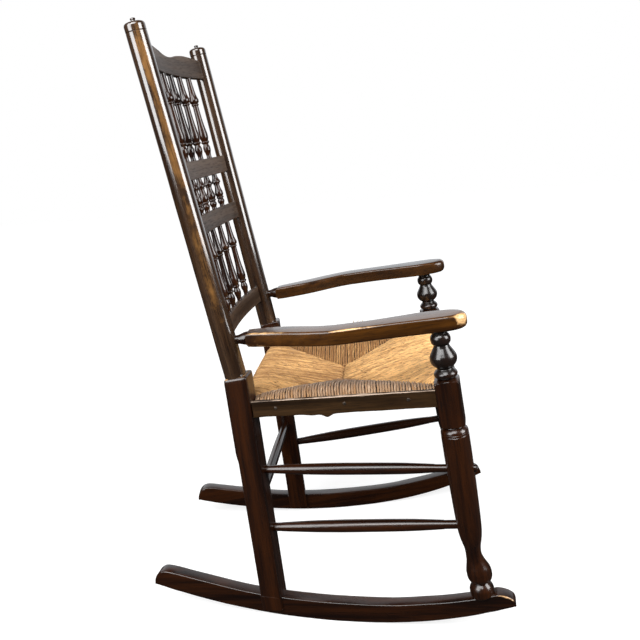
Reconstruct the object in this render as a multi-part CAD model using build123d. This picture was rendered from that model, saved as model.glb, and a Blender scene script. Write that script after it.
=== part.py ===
from build123d import *
import math
import os

# Spindle-back rocking armchair with a rush seat, in the manner of northern English country
# chairs: round back posts on square legs, three rows of turned spindles between bent cross
# rails, flat bowed arms on turned front legs, and sawn rockers under the feet.
#
# The chair is drawn on the bench with its seat level: +X is the sitter's left, -Y the front
# and +Z up. The finished chair is then tipped back onto the stretch of rocker where it
# balances. Pieces in pairs are drawn on the +X side and mirrored. Lengths are millimetres.

# ---- Stance ---------------------------------------------------------------------------------
REST_LEAN = 4.4  # degrees that the balanced chair leans back from the bench position
PLAN_TURN = 7.0  # degrees that the sides splay outwards towards the front

# ---- Back posts: a square leg below the seat, a round post above it ---------------------------
LEG_SQUARE = 42.0
LEG_CORNER = 4.5
LEG_TOP_EXTRA = 2.5  # the leg keeps this much more wood at the back, above the step
LEG_STEP_Z = 345.0
BACK_LEG_FOOT = Vector(193.2, 178.3, 15.0)
BACK_LEG_HEAD = Vector(184.0, 164.3, 496.0)
POST_BASE = Vector(183.0, 167.8, 505.0)
POST_HEAD = Vector(192.8, 211.4, 1066.0)
POST_BASE_R = 20.2
POST_HEAD_R = 17.8
POST_TOP_Z = 1121.0
POST_EDGE_R = 5.0
POST_SEATS = ((493, 602), (750, 800), (852, 902), (1049, 1106))  # heights kept parallel
NIB_R = 4.5
NIB_HEIGHT = 7.0

# ---- Front legs: turned, with a square block at the seat --------------------------------------
FRONT_LEG_FOOT = Vector(241.8, -225.6, 40.0)
FRONT_LEG_HEAD = Vector(233.7, -203.8, 558.0)
BLOCK_BOTTOM = 345.0  # heights along the leg, from the sole
BLOCK_TOP = 431.0
CLUB_OFFSET = 5.0  # the foot is turned on a centre this far in front of the leg's
LEG_TENON_R = 9.0
LEG_TENON = 18.0

# ---- Rockers ----------------------------------------------------------------------------------
ROCKER_THICK = 26.5
ROCKER_AT_ORIGIN = 217.3  # distance of the rocker's centre plane from the chair's, at Y = 0
ROCKER_LOW = (-35.0, -8.9)  # where the two arcs of the sole meet
ROCKER_BACK_R = 1225.0
ROCKER_FRONT_R = 835.0
ROCKER_BACK_END = 430.0
ROCKER_FRONT_END = -286.0

# ---- Arms -------------------------------------------------------------------------------------
ARM_BOTTOM_Z = 558.0
ARM_THICK = 26.5
ARM_EDGE_TOP = 4.0
ARM_EDGE_BOTTOM = 2.5
ARM_TENON_R = 8.0

# ---- Cross rails and spindles of the back ------------------------------------------------------
RAIL_THICK = 11.0
RAIL_BOW = 19.0
RAIL_DEPTH = 35.0
RAIL_TENON = 13.0
RAIL_TENON_THICK = 8.0
CREST_BOTTOM_Z = 1056.0
CREST_DIP = 34.0
CREST_HUMP = 43.0
UPPER_RAIL_Z = 859.0
MIDDLE_RAIL_Z = 757.0
BOTTOM_RAIL_Z = 558.0
SPINDLES = 5
SPINDLE_PITCH = 52.4
SPINDLE_TENON = 10.0
SPINDLE_END_R = 5.0

# ---- Seat -------------------------------------------------------------------------------------
SIDE_RAIL_Z = 439.0  # the side rails sit lower, so that the tenons pass in the legs
CROSS_RAIL_Z = 452.0
SEAT_RAIL_R = 12.5
SEAT_TENON_R = 6.4
SEAT_TENON = 13.0
SEAT_SHOULDER = 4.0
STRIP_OUTER = 225.0  # distance of a side strip's face from the chair's centre, at Y = 0
STRIP_SLOPE = -0.135
STRIP_THICK = 8.0
STRIP_BOTTOM_Z = 427.0
STRIP_HEIGHT = 31.0
FRONT_STRIP_Y = -228.0
SEAT_BACK_Y = 176.0  # the rush's own edge: no strip covers it
RUSH_WRAP = 5.0
RUSH_DIP = 38.0
RUSH_BELLY = 24.0

# ---- Stretchers -------------------------------------------------------------------------------
LOWER_Z = 191.0
UPPER_BACK_Z = 311.0
UPPER_FRONT_Z = 301.0
BACK_STRETCHER_Z = 248.0
FRONT_STRETCHER_Z = 250.0
STRETCHER_TENON = 14.0
THROUGH_TENON = 5.0  # how far the upper side stretchers stand out of the front legs


# ---- Shared helpers ---------------------------------------------------------------------------
def turned(stretches, cones=False):
    """A turned solid on the Z axis. Each stretch is a run of (height, radius) points: two
    make a straight taper, three an arc, and more a smooth curve. A flat shoulder joins two
    stretches that end and start at different radii. Tapers that other surfaces cross are
    made as true cones."""
    edges = []
    corner = (0, stretches[0][0][0])
    for stretch in stretches:
        points = [(radius, height) for height, radius in stretch]
        if math.dist(corner, points[0]) > 1e-6:
            edges.append(Line(corner, points[0]))
        if len(points) == 2 and (cones or points[0][0] == points[1][0]):
            edges.append(Line(*points))
        elif len(points) == 2:
            edges.append(Bezier(*points))
        elif len(points) == 3:
            edges.append(ThreePointArc(*points))
        else:
            edges.append(Spline(*points))
        corner = points[-1]
    edges.append(Polyline(corner, (0, corner[1]), (0, stretches[0][0][0])))
    return revolve(Plane.XZ * make_face(edges), Axis.Z)


def tapers(*points):
    """The stretches of a turning made of straight tapers, from its (height, radius) corners."""
    return [list(pair) for pair in zip(points, points[1:])]


def axis_plane(start, end, turn=0.0):
    """A plane on start that faces end. On an upright piece its X direction is turned in plan
    by some degrees, and on a level one it points up."""
    direction = (end - start).normalized()
    across = Vector(math.cos(math.radians(turn)), math.sin(math.radians(turn)), 0)
    if abs(direction.Z) < 0.5:
        across = Vector(0, 0, 1)
    across = across - direction * across.dot(direction)
    return Plane(origin=start, x_dir=across, z_dir=direction)


def on_line(start, end, z):
    """The point at height z on the line through start and end."""
    return start + (end - start) * ((z - start.Z) / (end.Z - start.Z))


def other_side(shape):
    return mirror(shape, about=Plane.YZ)


def both(name, shape):
    """The named left and right pieces of a pair, from the left one."""
    return {name + "_left": shape, name + "_right": other_side(shape)}


# ---- Rockers ----------------------------------------------------------------------------------
def rocker_plane():
    """The board's centre plane: X along the board towards the back, Y up."""
    turn = math.radians(PLAN_TURN)
    along = (-math.sin(turn), math.cos(turn), 0)
    across = (math.cos(turn), math.sin(turn), 0)
    return Plane(origin=(ROCKER_AT_ORIGIN, 0, 0), x_dir=along, z_dir=across)


def arc_height(radius, run):
    return radius - math.sqrt(radius**2 - run**2)


def rocker_face():
    """The sawn outline: two tangent arcs below, a gentler curve above, a rounded nose."""
    low_y, low_z = ROCKER_LOW
    tail_z = low_z + arc_height(ROCKER_BACK_R, ROCKER_BACK_END - low_y)
    half = (ROCKER_BACK_END - low_y) / 2
    half_z = low_z + arc_height(ROCKER_BACK_R, half)
    nose_run = low_y - ROCKER_FRONT_END - 5
    nose_z = low_z + arc_height(ROCKER_FRONT_R, nose_run)
    part_z = low_z + arc_height(ROCKER_FRONT_R, nose_run / 2)
    tail = (ROCKER_BACK_END, tail_z)
    nose = (ROCKER_FRONT_END + 5, nose_z)
    sole_back = ThreePointArc(ROCKER_LOW, (low_y + half, half_z), tail)
    sole_front = ThreePointArc(nose, (low_y - nose_run / 2, part_z), ROCKER_LOW)
    heel = (421.0, 101.0)
    heel_end = (404.0, 111.5)
    back_end = Line(tail, heel)
    heel_round = ThreePointArc(heel, (415.5, 109.5), heel_end)
    top = Spline(
        heel_end, (327, 88), (201, 54.5), (63, 36), (-50, 30.5), (-140, 35.5), (-256, 54)
    )
    nose_round = ThreePointArc((-256, 54), (-277, 45), (ROCKER_FRONT_END, nose_z + 4))
    nose_end = Line((ROCKER_FRONT_END, nose_z + 4), nose)
    return make_face([sole_back, back_end, heel_round, top, nose_round, nose_end, sole_front])


def rocker():
    face = rocker_plane() * rocker_face()
    board = extrude(face, ROCKER_THICK / 2, both=True)
    return board


def rocker_clearance():
    """The rocker's outline made wide and deep, to cut the soles of the feet to its top."""
    return extrude(rocker_plane() * rocker_face(), 45, both=True)


# ---- Back posts -------------------------------------------------------------------------------
def back_leg_block():
    """The square leg, cut off at the shoulder across the round post's axis."""
    plane = axis_plane(BACK_LEG_FOOT, BACK_LEG_HEAD, PLAN_TURN)
    length = (BACK_LEG_HEAD - BACK_LEG_FOOT).length + 40
    step = (LEG_STEP_Z - BACK_LEG_FOOT.Z) / (BACK_LEG_HEAD.Z - BACK_LEG_FOOT.Z)
    step = step * (BACK_LEG_HEAD - BACK_LEG_FOOT).length
    leg = extrude(RectangleRounded(LEG_SQUARE, LEG_SQUARE, LEG_CORNER), length)
    fuller = RectangleRounded(LEG_SQUARE, LEG_SQUARE + LEG_TOP_EXTRA, LEG_CORNER)
    fuller = Pos(0, LEG_TOP_EXTRA / 2, step) * extrude(fuller, length - step)
    block = plane * (leg + fuller)
    shoulder = axis_plane(POST_BASE, POST_HEAD)
    return split(block, bisect_by=shoulder, keep=Keep.BOTTOM)


def post_radius(z):
    return POST_BASE_R + (POST_HEAD_R - POST_BASE_R) * (z - POST_BASE.Z) / (POST_HEAD.Z - POST_BASE.Z)


def round_post():
    """The round post: parallel where the rails and the arm enter it and gently tapered in
    between, with a softened top and a small turned nib."""
    up = (POST_HEAD - POST_BASE).length / (POST_HEAD.Z - POST_BASE.Z)
    top_r = post_radius(POST_TOP_Z)
    corners = []
    for low_z, high_z in POST_SEATS:
        radius = post_radius((low_z + high_z) / 2)
        corners.append(((low_z - POST_BASE.Z) * up, radius))
        corners.append(((high_z - POST_BASE.Z) * up, radius))
    top = (POST_TOP_Z - POST_BASE.Z) * up
    nib_top = top + NIB_HEIGHT
    corners.append((top - POST_EDGE_R, top_r))
    corners.append((top - POST_EDGE_R * 0.3, top_r - POST_EDGE_R * 0.3))
    corners.append((top, top_r - POST_EDGE_R))
    corners.append((top + 1.5, NIB_R))
    corners.append((nib_top - 2, NIB_R))
    corners.append((nib_top, NIB_R - 2.5))
    return axis_plane(POST_BASE, POST_HEAD) * turned(tapers(*corners))


def foot_tenon(foot, size_x, size_y, depth):
    """A square tenon that runs down from the sole into the rocker."""
    return Pos(foot.X, foot.Y, foot.Z) * Rot(0, 0, PLAN_TURN) * Box(
        size_x, size_y, depth, align=(Align.CENTER, Align.CENTER, Align.MIN)
    )


def back_post():
    sole = back_leg_block() - rocker_clearance()
    sole = sole.solids().sort_by(Axis.Z)[-1]
    root = on_line(BACK_LEG_FOOT, BACK_LEG_HEAD, 26.0)
    tenon = foot_tenon(Vector(root.X + 1.5, root.Y, root.Z), 12.0, 28.0, 34.0)
    return sole + round_post() + tenon


# ---- Front legs -------------------------------------------------------------------------------
def leg_shaft_profile():
    """From the ankle to the groove below the block, as heights above the sole. The shaft is
    parallel where the stretchers enter it."""
    return tapers(
        (84, 9.0), (100, 13.2), (118, 18.4), (136, 21.9), (166, 21.9), (197, 23.3), (223, 23.3),
        (247, 24.2), (277, 24.2), (327, 24.6), (333, 23.6), (338, 18.8), (342, 18.2), (347, 20.5),
    )


def leg_neck_profile():
    """From the block to the tenon: collar, ring, vase, neck and ball."""
    return tapers(
        (417, 15.2), (437, 15.2), (440, 18.8), (445, 19.2), (448.5, 15.2),
        (452, 13.5), (458, 19.6), (464, 22.8), (471, 22.9), (480, 19.4), (493, 13.0), (498, 16.4),
        (504, 17.4), (510, 16.6), (518, 13.2),
    ) + tapers((518, LEG_TENON_R), (518 + LEG_TENON, LEG_TENON_R))


def leg_block():
    """The square block, its ends turned down to rounded shoulders."""
    height = BLOCK_TOP - BLOCK_BOTTOM
    square = Pos(0, 0, BLOCK_BOTTOM) * extrude(RectangleRounded(LEG_SQUARE, LEG_SQUARE, 3), height)
    corner_r = LEG_SQUARE * 0.72
    round_off = 7.0
    shoulders = turned(tapers(
        (BLOCK_BOTTOM, 20.5), (BLOCK_BOTTOM + round_off, corner_r),
        (BLOCK_TOP - 17, corner_r), (BLOCK_TOP - 8, 26.2), (BLOCK_TOP, 17.0),
    ), cones=True)
    return square & shoulders


def club_foot():
    """The foot turned on the forward centre: a pear-shaped club above a ball."""
    return Pos(0, -CLUB_OFFSET, 0) * turned(tapers(
        (-2, 14.0), (6, 19.4), (15, 21.0), (24, 19.6), (30, 17.0), (36, 20.0), (45, 22.3),
        (54, 21.6), (66, 18.6), (84, 14.0), (112, 9.0),
    ))


def front_leg():
    spindle = turned(leg_shaft_profile()) + turned(leg_neck_profile())
    leg = spindle + leg_block() + club_foot()
    plane = axis_plane(FRONT_LEG_FOOT, FRONT_LEG_HEAD, PLAN_TURN)
    tenon_place = plane * Pos(0, -CLUB_OFFSET, -14)
    tenon = tenon_place * Cylinder(LEG_TENON_R, 30, align=(Align.CENTER, Align.CENTER, Align.MIN))
    body = plane * leg - rocker_clearance()
    body = body.solids().sort_by(SortBy.VOLUME)[-1]
    return body + tenon


# ---- Arms -------------------------------------------------------------------------------------
def arm_outline():
    """The arm in plan: bowed outwards behind the elbow, widening to a rounded hand rest."""
    outer = Spline((197, 132), (217, 74), (240, 17), (252.5, -36), (251.5, -120), (253, -220))
    inner = Spline((213, -234), (199, -190), (210, -86), (210.5, -36), (175, 74), (164, 132))
    hand = ThreePointArc((253, -220), (236, -252), (213, -234))
    return make_face([outer, hand, inner, Line((164, 132), (197, 132))])


def arm():
    board = extrude(Pos(0, 0, ARM_BOTTOM_Z) * arm_outline(), ARM_THICK)
    top_edges = board.faces().sort_by(Axis.Z)[-1].edges().sort_by(Axis.Y)[:-1]
    board = chamfer(top_edges, ARM_EDGE_TOP)
    bottom_edges = board.faces().sort_by(Axis.Z)[0].edges().sort_by(Axis.Y)[:-1]
    board = chamfer(bottom_edges, ARM_EDGE_BOTTOM)
    middle = ARM_BOTTOM_Z + ARM_THICK / 2
    post = on_line(POST_BASE, POST_HEAD, middle)
    start = Vector(180.5, 126.0, middle)
    taper = axis_plane(start, Vector(post.X - 1, post.Y, middle)) * turned(tapers(
        (0, 12.8), (8, 12.6), (22, ARM_TENON_R), (39, ARM_TENON_R)
    ))
    return board + taper


# ---- The back: cross rails and spindles --------------------------------------------------------
BACK = Plane(
    origin=(0, POST_BASE.Y, POST_BASE.Z),
    x_dir=(1, 0, 0),
    z_dir=(0, POST_HEAD.Y - POST_BASE.Y, POST_HEAD.Z - POST_BASE.Z),
)
BACK_STRETCH = math.hypot(1, (POST_HEAD.Y - POST_BASE.Y) / (POST_HEAD.Z - POST_BASE.Z))


def up_back(z):
    """Distance up the leaning back, from its base to height z."""
    return (z - POST_BASE.Z) * BACK_STRETCH


def half_span(z):
    """Distance from the chair's centre to a post's axis at height z."""
    return on_line(POST_BASE, POST_HEAD, z).X


BOW_R = (half_span(800.0) ** 2 + RAIL_BOW**2) / (2 * RAIL_BOW)


def bow(x):
    """How far a bent rail's centre line stands behind the line between the posts."""
    return RAIL_BOW - arc_height(BOW_R, x)


def bent_board(z, height, reach):
    """A board bent to the bow of the back, standing at height z between x = -reach and reach."""
    inner = BOW_R - RAIL_THICK / 2
    outer = BOW_R + RAIL_THICK / 2
    centre_y = RAIL_BOW - BOW_R
    ring = Pos(0, centre_y) * (Circle(outer) - Circle(inner))
    window = Rectangle(2 * reach, 200)
    plan = (ring & Pos(0, 50) * window).faces().sort_by(Axis.Y)[-1]
    return Pos(0, 0, up_back(z)) * extrude(plan, height, dir=(0, 0, 1))


def rail_tenon(z, low, height):
    """The flat tenon at a rail's left end, let into the post along the rail's own curve."""
    span = half_span(z)
    end = span - post_radius(z)
    slope = math.degrees(math.asin(end / BOW_R))
    tenon = Box(
        2 * RAIL_TENON, RAIL_TENON_THICK, height, align=(Align.CENTER, Align.CENTER, Align.MIN)
    )
    return Pos(end, bow(end), up_back(z) + low) * Rot(0, 0, -slope) * tenon


def fit_rail(board, z, low, height):
    """Ends a bent board on the round posts and adds its two tenons."""
    post_left = BACK.to_local_coords(round_post())
    body = board - post_left - other_side(post_left)
    body = body.solids().sort_by(SortBy.VOLUME)[-1]
    tenon = rail_tenon(z, low, height)
    return BACK * (body + tenon + other_side(tenon))


def plain_rail(z):
    board = bent_board(z, RAIL_DEPTH, half_span(z))
    return fit_rail(board, z, 4.0, RAIL_DEPTH - 8.0)


def crest_rail():
    """The top rail: a shallow double hump along its upper edge."""
    reach = half_span(CREST_BOTTOM_Z)
    board = bent_board(CREST_BOTTOM_Z, CREST_HUMP + 5, reach)
    upper = Spline(
        (-reach, CREST_HUMP - 2), (-100, CREST_HUMP), (0, CREST_DIP), (100, CREST_HUMP),
        (reach, CREST_HUMP - 2)
    )
    lower = Polyline((reach, CREST_HUMP - 2), (reach, 0), (-reach, 0), (-reach, CREST_HUMP - 2))
    outline = extrude(Plane.XZ * make_face([upper, lower]), 60, both=True)
    board = board & (Pos(0, 0, up_back(CREST_BOTTOM_Z)) * outline)
    return fit_rail(board, CREST_BOTTOM_Z, 5.0, CREST_HUMP - 14.0)


def tall_spindle(length):
    """A long back spindle: foot, vase, cup and top taper, between round tenons."""
    cup = length - 49
    return turned(tapers(
        (-SPINDLE_TENON, SPINDLE_END_R), (0, SPINDLE_END_R), (12, 7.6), (21, 5.5), (36, 8.9),
        (cup - 7, 5.7), (cup, 9.75), (length, SPINDLE_END_R), (length + SPINDLE_TENON, SPINDLE_END_R),
    ))


def short_spindle(length):
    """A short spindle of the middle row, with the same elements drawn together."""
    cup = length - 16
    return turned(tapers(
        (-SPINDLE_TENON, SPINDLE_END_R), (0, SPINDLE_END_R), (23, 8.6), (cup - 7, 5.6), (cup, 9.4),
        (length, SPINDLE_END_R), (length + SPINDLE_TENON, SPINDLE_END_R),
    ))


def spindle_row(name, shape, z):
    """A row of like spindles standing on height z, as separate named pieces."""
    row = {}
    for index in range(SPINDLES):
        x = (index - (SPINDLES - 1) / 2) * SPINDLE_PITCH
        row[name + "_" + str(index + 1)] = BACK * Pos(x, bow(x), up_back(z)) * shape
    return row


def back_pieces():
    rail_tops = RAIL_DEPTH / BACK_STRETCH
    upper_foot = UPPER_RAIL_Z + rail_tops
    middle_foot = MIDDLE_RAIL_Z + rail_tops
    lower_foot = BOTTOM_RAIL_Z + rail_tops
    upper = tall_spindle(up_back(CREST_BOTTOM_Z) - up_back(upper_foot))
    middle = short_spindle(up_back(UPPER_RAIL_Z) - up_back(middle_foot))
    lower = tall_spindle(up_back(MIDDLE_RAIL_Z) - up_back(lower_foot))
    spindles = spindle_row("upper_spindle", upper, upper_foot)
    spindles.update(spindle_row("middle_spindle", middle, middle_foot))
    spindles.update(spindle_row("lower_spindle", lower, lower_foot))
    rails = {
        "crest_rail": crest_rail(),
        "upper_cross_rail": plain_rail(UPPER_RAIL_Z),
        "middle_cross_rail": plain_rail(MIDDLE_RAIL_Z),
        "bottom_cross_rail": plain_rail(BOTTOM_RAIL_Z),
    }
    return rails, spindles


# ---- Seat -------------------------------------------------------------------------------------
def strip_face_x(y):
    """Distance of a side strip's outer face from the chair's centre."""
    return STRIP_OUTER + STRIP_SLOPE * y


def seat_rail(start, end):
    """A round seat rail with a shouldered round tenon at each end."""
    length = (end - start).length
    return axis_plane(start, end) * turned(tapers(
        (-SEAT_TENON, SEAT_TENON_R), (SEAT_SHOULDER, SEAT_TENON_R)
    ) + tapers(
        (SEAT_SHOULDER, SEAT_RAIL_R), (length - SEAT_SHOULDER, SEAT_RAIL_R)
    ) + tapers(
        (length - SEAT_SHOULDER, SEAT_TENON_R), (length + SEAT_TENON, SEAT_TENON_R)
    ))


def side_rail_x(y):
    return strip_face_x(y) - STRIP_THICK - RUSH_WRAP - SEAT_RAIL_R


def seat_rails():
    half = LEG_SQUARE / 2
    back_leg = on_line(BACK_LEG_FOOT, BACK_LEG_HEAD, CROSS_RAIL_Z)
    front_leg_point = on_line(FRONT_LEG_FOOT, FRONT_LEG_HEAD, CROSS_RAIL_Z)
    back_y = back_leg.Y - half
    front_y = front_leg_point.Y + half
    side = seat_rail(
        Vector(side_rail_x(back_y), back_y, SIDE_RAIL_Z),
        Vector(side_rail_x(front_y), front_y, SIDE_RAIL_Z),
    )
    inset = RUSH_WRAP + SEAT_RAIL_R
    back_x = back_leg.X - half
    front_x = front_leg_point.X - half
    rails = both("seat_rail", side)
    rails["seat_rail_back"] = seat_rail(
        Vector(-back_x, SEAT_BACK_Y - inset, CROSS_RAIL_Z),
        Vector(back_x, SEAT_BACK_Y - inset, CROSS_RAIL_Z),
    )
    rails["seat_rail_front"] = seat_rail(
        Vector(-front_x, FRONT_STRIP_Y + STRIP_THICK + inset, CROSS_RAIL_Z),
        Vector(front_x, FRONT_STRIP_Y + STRIP_THICK + inset, CROSS_RAIL_Z),
    )
    return rails


def strip(start, end):
    """A flat edge strip whose outer face runs from start to end, long enough to be cut back."""
    length = (end - start).length
    board = Box(
        length, STRIP_THICK, STRIP_HEIGHT, align=(Align.CENTER, Align.MIN, Align.MIN)
    )
    board = fillet(board.edges().filter_by(Axis.X).group_by(Axis.Y)[0], 1.5)
    middle = (start + end) * 0.5
    angle = math.degrees(math.atan2(end.Y - start.Y, end.X - start.X))
    return Pos(middle.X, middle.Y, STRIP_BOTTOM_Z) * Rot(0, 0, angle) * board


def edge_strips():
    front_y, back_y = -200.0, 160.0
    side = strip(
        Vector(strip_face_x(front_y), front_y, 0), Vector(strip_face_x(back_y), back_y, 0)
    )
    strips = both("seat_strip", side)
    strips["seat_strip_front"] = strip(Vector(-225, FRONT_STRIP_Y, 0), Vector(225, FRONT_STRIP_Y, 0))
    return strips


def seat_corners(inset, z):
    """The seat's four corners in plan, inside the edge strips and drawn in by an inset."""
    front_y = FRONT_STRIP_Y + STRIP_THICK + inset
    back_y = SEAT_BACK_Y - inset
    across = STRIP_THICK * math.hypot(1, STRIP_SLOPE)
    front_x = strip_face_x(front_y) - across - inset
    back_x = strip_face_x(back_y) - across - inset
    return [(-front_x, front_y, z), (front_x, front_y, z), (back_x, back_y, z), (-back_x, back_y, z)]


def seat_frustum(low_inset, low_z, high_inset, high_z):
    """A solid between two level outlines of the seat, with flat sloping sides."""
    low = seat_corners(low_inset, low_z)
    high = seat_corners(high_inset, high_z)
    faces = [Face(Wire.make_polygon(low)), Face(Wire.make_polygon(high))]
    for index in range(4):
        following = (index + 1) % 4
        side = [low[index], low[following], high[following], high[index]]
        faces.append(Face(Wire.make_polygon(side)))
    return Part(Solid(Shell(faces)).wrapped)


def rush_seat():
    """The woven seat as one solid over the seat rails, its four woven triangles sagging
    towards the middle, above and below."""
    top = CROSS_RAIL_Z + SEAT_RAIL_R + RUSH_WRAP - 2
    bottom = SIDE_RAIL_Z - SEAT_RAIL_R - RUSH_WRAP + 2
    slab = seat_frustum(0, bottom, 0, top - 7) + seat_frustum(0, top - 7, 6, top)
    dish = seat_frustum(160, top - RUSH_DIP, 26, top + 1)
    belly = seat_frustum(160, bottom - RUSH_BELLY, 26, bottom)
    return slab + belly - dish


def leg_notches():
    """Square columns at the four legs, which the rush is worked around."""
    side = LEG_SQUARE + 2 * LEG_TOP_EXTRA
    column = Box(side, side, 140)
    back = on_line(BACK_LEG_FOOT, BACK_LEG_HEAD, CROSS_RAIL_Z)
    front = on_line(FRONT_LEG_FOOT, FRONT_LEG_HEAD, CROSS_RAIL_Z)
    notches = []
    for point, towards in ((back, BACK_LEG_HEAD), (front, FRONT_LEG_HEAD)):
        notch = axis_plane(point, towards, PLAN_TURN) * column
        notches += [notch, other_side(notch)]
    return notches


# ---- Stretchers -------------------------------------------------------------------------------
def stretcher(start, end, end_r, middle_r, tenon, far_tenon):
    """A turned stretcher that swells towards its middle, with its ends let into the legs."""
    length = (end - start).length
    return axis_plane(start, end) * turned(tapers(
        (-tenon, end_r), (4, end_r), (length * 0.12, (end_r + middle_r) / 2),
        (length * 0.32, middle_r), (length * 0.68, middle_r), (length * 0.88, (end_r + middle_r) / 2),
        (length - 4, end_r), (length + far_tenon, end_r),
    ))


def front_stretcher(start, end):
    """The show stretcher: two long bulbs either side of a ring."""
    half = (end - start).length / 2
    half_profile = [
        (-STRETCHER_TENON, 8.0), (5, 8.0), (half * 0.24, 11.0), (half * 0.24 + 1, 9.5),
        (half * 0.42, 15.0), (half * 0.6, 19.8), (half * 0.72, 20.5), (half * 0.86, 17.5),
        (half - 7, 14.0), (half - 3, 20.5),
    ]
    other_half = [(2 * half - height, radius) for height, radius in reversed(half_profile)]
    return axis_plane(start, end) * turned(tapers(*half_profile, *other_half))


def stretchers():
    back_half = LEG_SQUARE / 2
    pieces = {}
    low_back = on_line(BACK_LEG_FOOT, BACK_LEG_HEAD, LOWER_Z)
    low_front = on_line(FRONT_LEG_FOOT, FRONT_LEG_HEAD, LOWER_Z)
    lower = stretcher(
        Vector(low_back.X, low_back.Y - back_half, LOWER_Z),
        Vector(low_front.X - 2.5, low_front.Y + 20.0, LOWER_Z),
        8.0, 11.7, STRETCHER_TENON, STRETCHER_TENON,
    )
    high_back = on_line(BACK_LEG_FOOT, BACK_LEG_HEAD, UPPER_BACK_Z)
    high_front = on_line(FRONT_LEG_FOOT, FRONT_LEG_HEAD, UPPER_FRONT_Z)
    upper = stretcher(
        Vector(high_back.X - 1.5, high_back.Y - back_half, UPPER_BACK_Z),
        Vector(high_front.X - 2.5, high_front.Y + 20.0, UPPER_FRONT_Z),
        7.3, 11.0, STRETCHER_TENON, 44.0 + THROUGH_TENON,
    )
    pieces.update(both("lower_side_stretcher", lower))
    pieces.update(both("upper_side_stretcher", upper))
    back = on_line(BACK_LEG_FOOT, BACK_LEG_HEAD, BACK_STRETCHER_Z)
    reach = back.X - back_half
    pieces["back_stretcher"] = stretcher(
        Vector(-reach, back.Y - 1.5, BACK_STRETCHER_Z),
        Vector(reach, back.Y - 1.5, BACK_STRETCHER_Z),
        8.0, 10.4, STRETCHER_TENON, STRETCHER_TENON,
    )
    front = on_line(FRONT_LEG_FOOT, FRONT_LEG_HEAD, FRONT_STRETCHER_Z)
    reach = front.X - 22.0
    pieces["front_stretcher"] = front_stretcher(
        Vector(-reach, front.Y, FRONT_STRETCHER_Z), Vector(reach, front.Y, FRONT_STRETCHER_Z)
    )
    return pieces


# ---- Assembly ---------------------------------------------------------------------------------
def cut_by(shape, cutters):
    for cutter in cutters:
        shape = shape - cutter
    return shape


def chair_pieces():
    rails, spindles = back_pieces()
    bars = stretchers()
    frame_rails = seat_rails()
    strips = edge_strips()
    arm_left = arm()
    leg_left = front_leg()
    rocker_left = rocker()
    post_left = back_post()

    side_bars = [bars["lower_side_stretcher_left"], bars["upper_side_stretcher_left"]]
    into_post = side_bars + [bars["back_stretcher"], arm_left]
    into_post += [frame_rails["seat_rail_left"], frame_rails["seat_rail_back"]]
    into_post += list(rails.values())
    into_leg = side_bars + [bars["front_stretcher"]]
    into_leg += [frame_rails["seat_rail_left"], frame_rails["seat_rail_front"]]
    rocker_left = cut_by(rocker_left, [post_left, leg_left])
    arm_left = cut_by(arm_left, [leg_left])
    post_left = cut_by(post_left, into_post)
    leg_left = cut_by(leg_left, into_leg)

    pieces = {}
    pieces.update(both("back_post", post_left))
    pieces.update(both("front_leg", leg_left))
    pieces.update(both("arm", arm_left))
    pieces.update(both("rocker", rocker_left))
    legs = [pieces["back_post_left"], pieces["back_post_right"]]
    legs += [pieces["front_leg_left"], pieces["front_leg_right"]]

    for name, rail in rails.items():
        pieces[name] = cut_by(rail, list(spindles.values()))
    pieces.update(spindles)
    pieces.update(bars)

    rush = cut_by(rush_seat(), leg_notches() + list(frame_rails.values()))
    pieces["rush_seat"] = rush.solids().sort_by(SortBy.VOLUME)[-1]
    pieces.update(frame_rails)
    for name, board in strips.items():
        pieces[name] = cut_by(board, legs).solids().sort_by(SortBy.VOLUME)[-1]
    return pieces


def stand_up(pieces):
    """Tips the chair back to its balance and puts the origin on the floor, below its middle."""
    tipped = {name: Rot(-REST_LEAN, 0, 0) * piece for name, piece in pieces.items()}
    boxes = [piece.bounding_box() for piece in tipped.values()]
    low_y = min(box.min.Y for box in boxes)
    high_y = max(box.max.Y for box in boxes)
    floor_z = min(box.min.Z for box in boxes)
    shift = Pos(0, -(low_y + high_y) / 2, -floor_z)
    return {name: shift * piece for name, piece in tipped.items()}


os.makedirs("parts", exist_ok=True)
for name, piece in stand_up(chair_pieces()).items():
    export_step(piece, "parts/" + name + ".step")
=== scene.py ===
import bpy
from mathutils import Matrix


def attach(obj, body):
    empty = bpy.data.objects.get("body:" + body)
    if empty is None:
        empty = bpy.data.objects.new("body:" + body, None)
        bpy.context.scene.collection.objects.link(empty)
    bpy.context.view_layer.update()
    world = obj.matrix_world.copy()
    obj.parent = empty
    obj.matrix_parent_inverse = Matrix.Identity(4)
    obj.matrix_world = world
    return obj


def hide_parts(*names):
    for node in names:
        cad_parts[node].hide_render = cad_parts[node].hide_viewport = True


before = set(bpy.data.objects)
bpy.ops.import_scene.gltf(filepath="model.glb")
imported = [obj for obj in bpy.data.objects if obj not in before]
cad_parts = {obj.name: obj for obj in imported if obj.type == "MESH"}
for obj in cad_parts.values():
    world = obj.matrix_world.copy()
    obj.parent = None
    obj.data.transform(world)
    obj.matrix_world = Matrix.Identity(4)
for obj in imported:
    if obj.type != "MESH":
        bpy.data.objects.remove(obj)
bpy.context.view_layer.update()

import math
import zlib

import bmesh
import bpy
import numpy as np
from mathutils import Matrix

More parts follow.
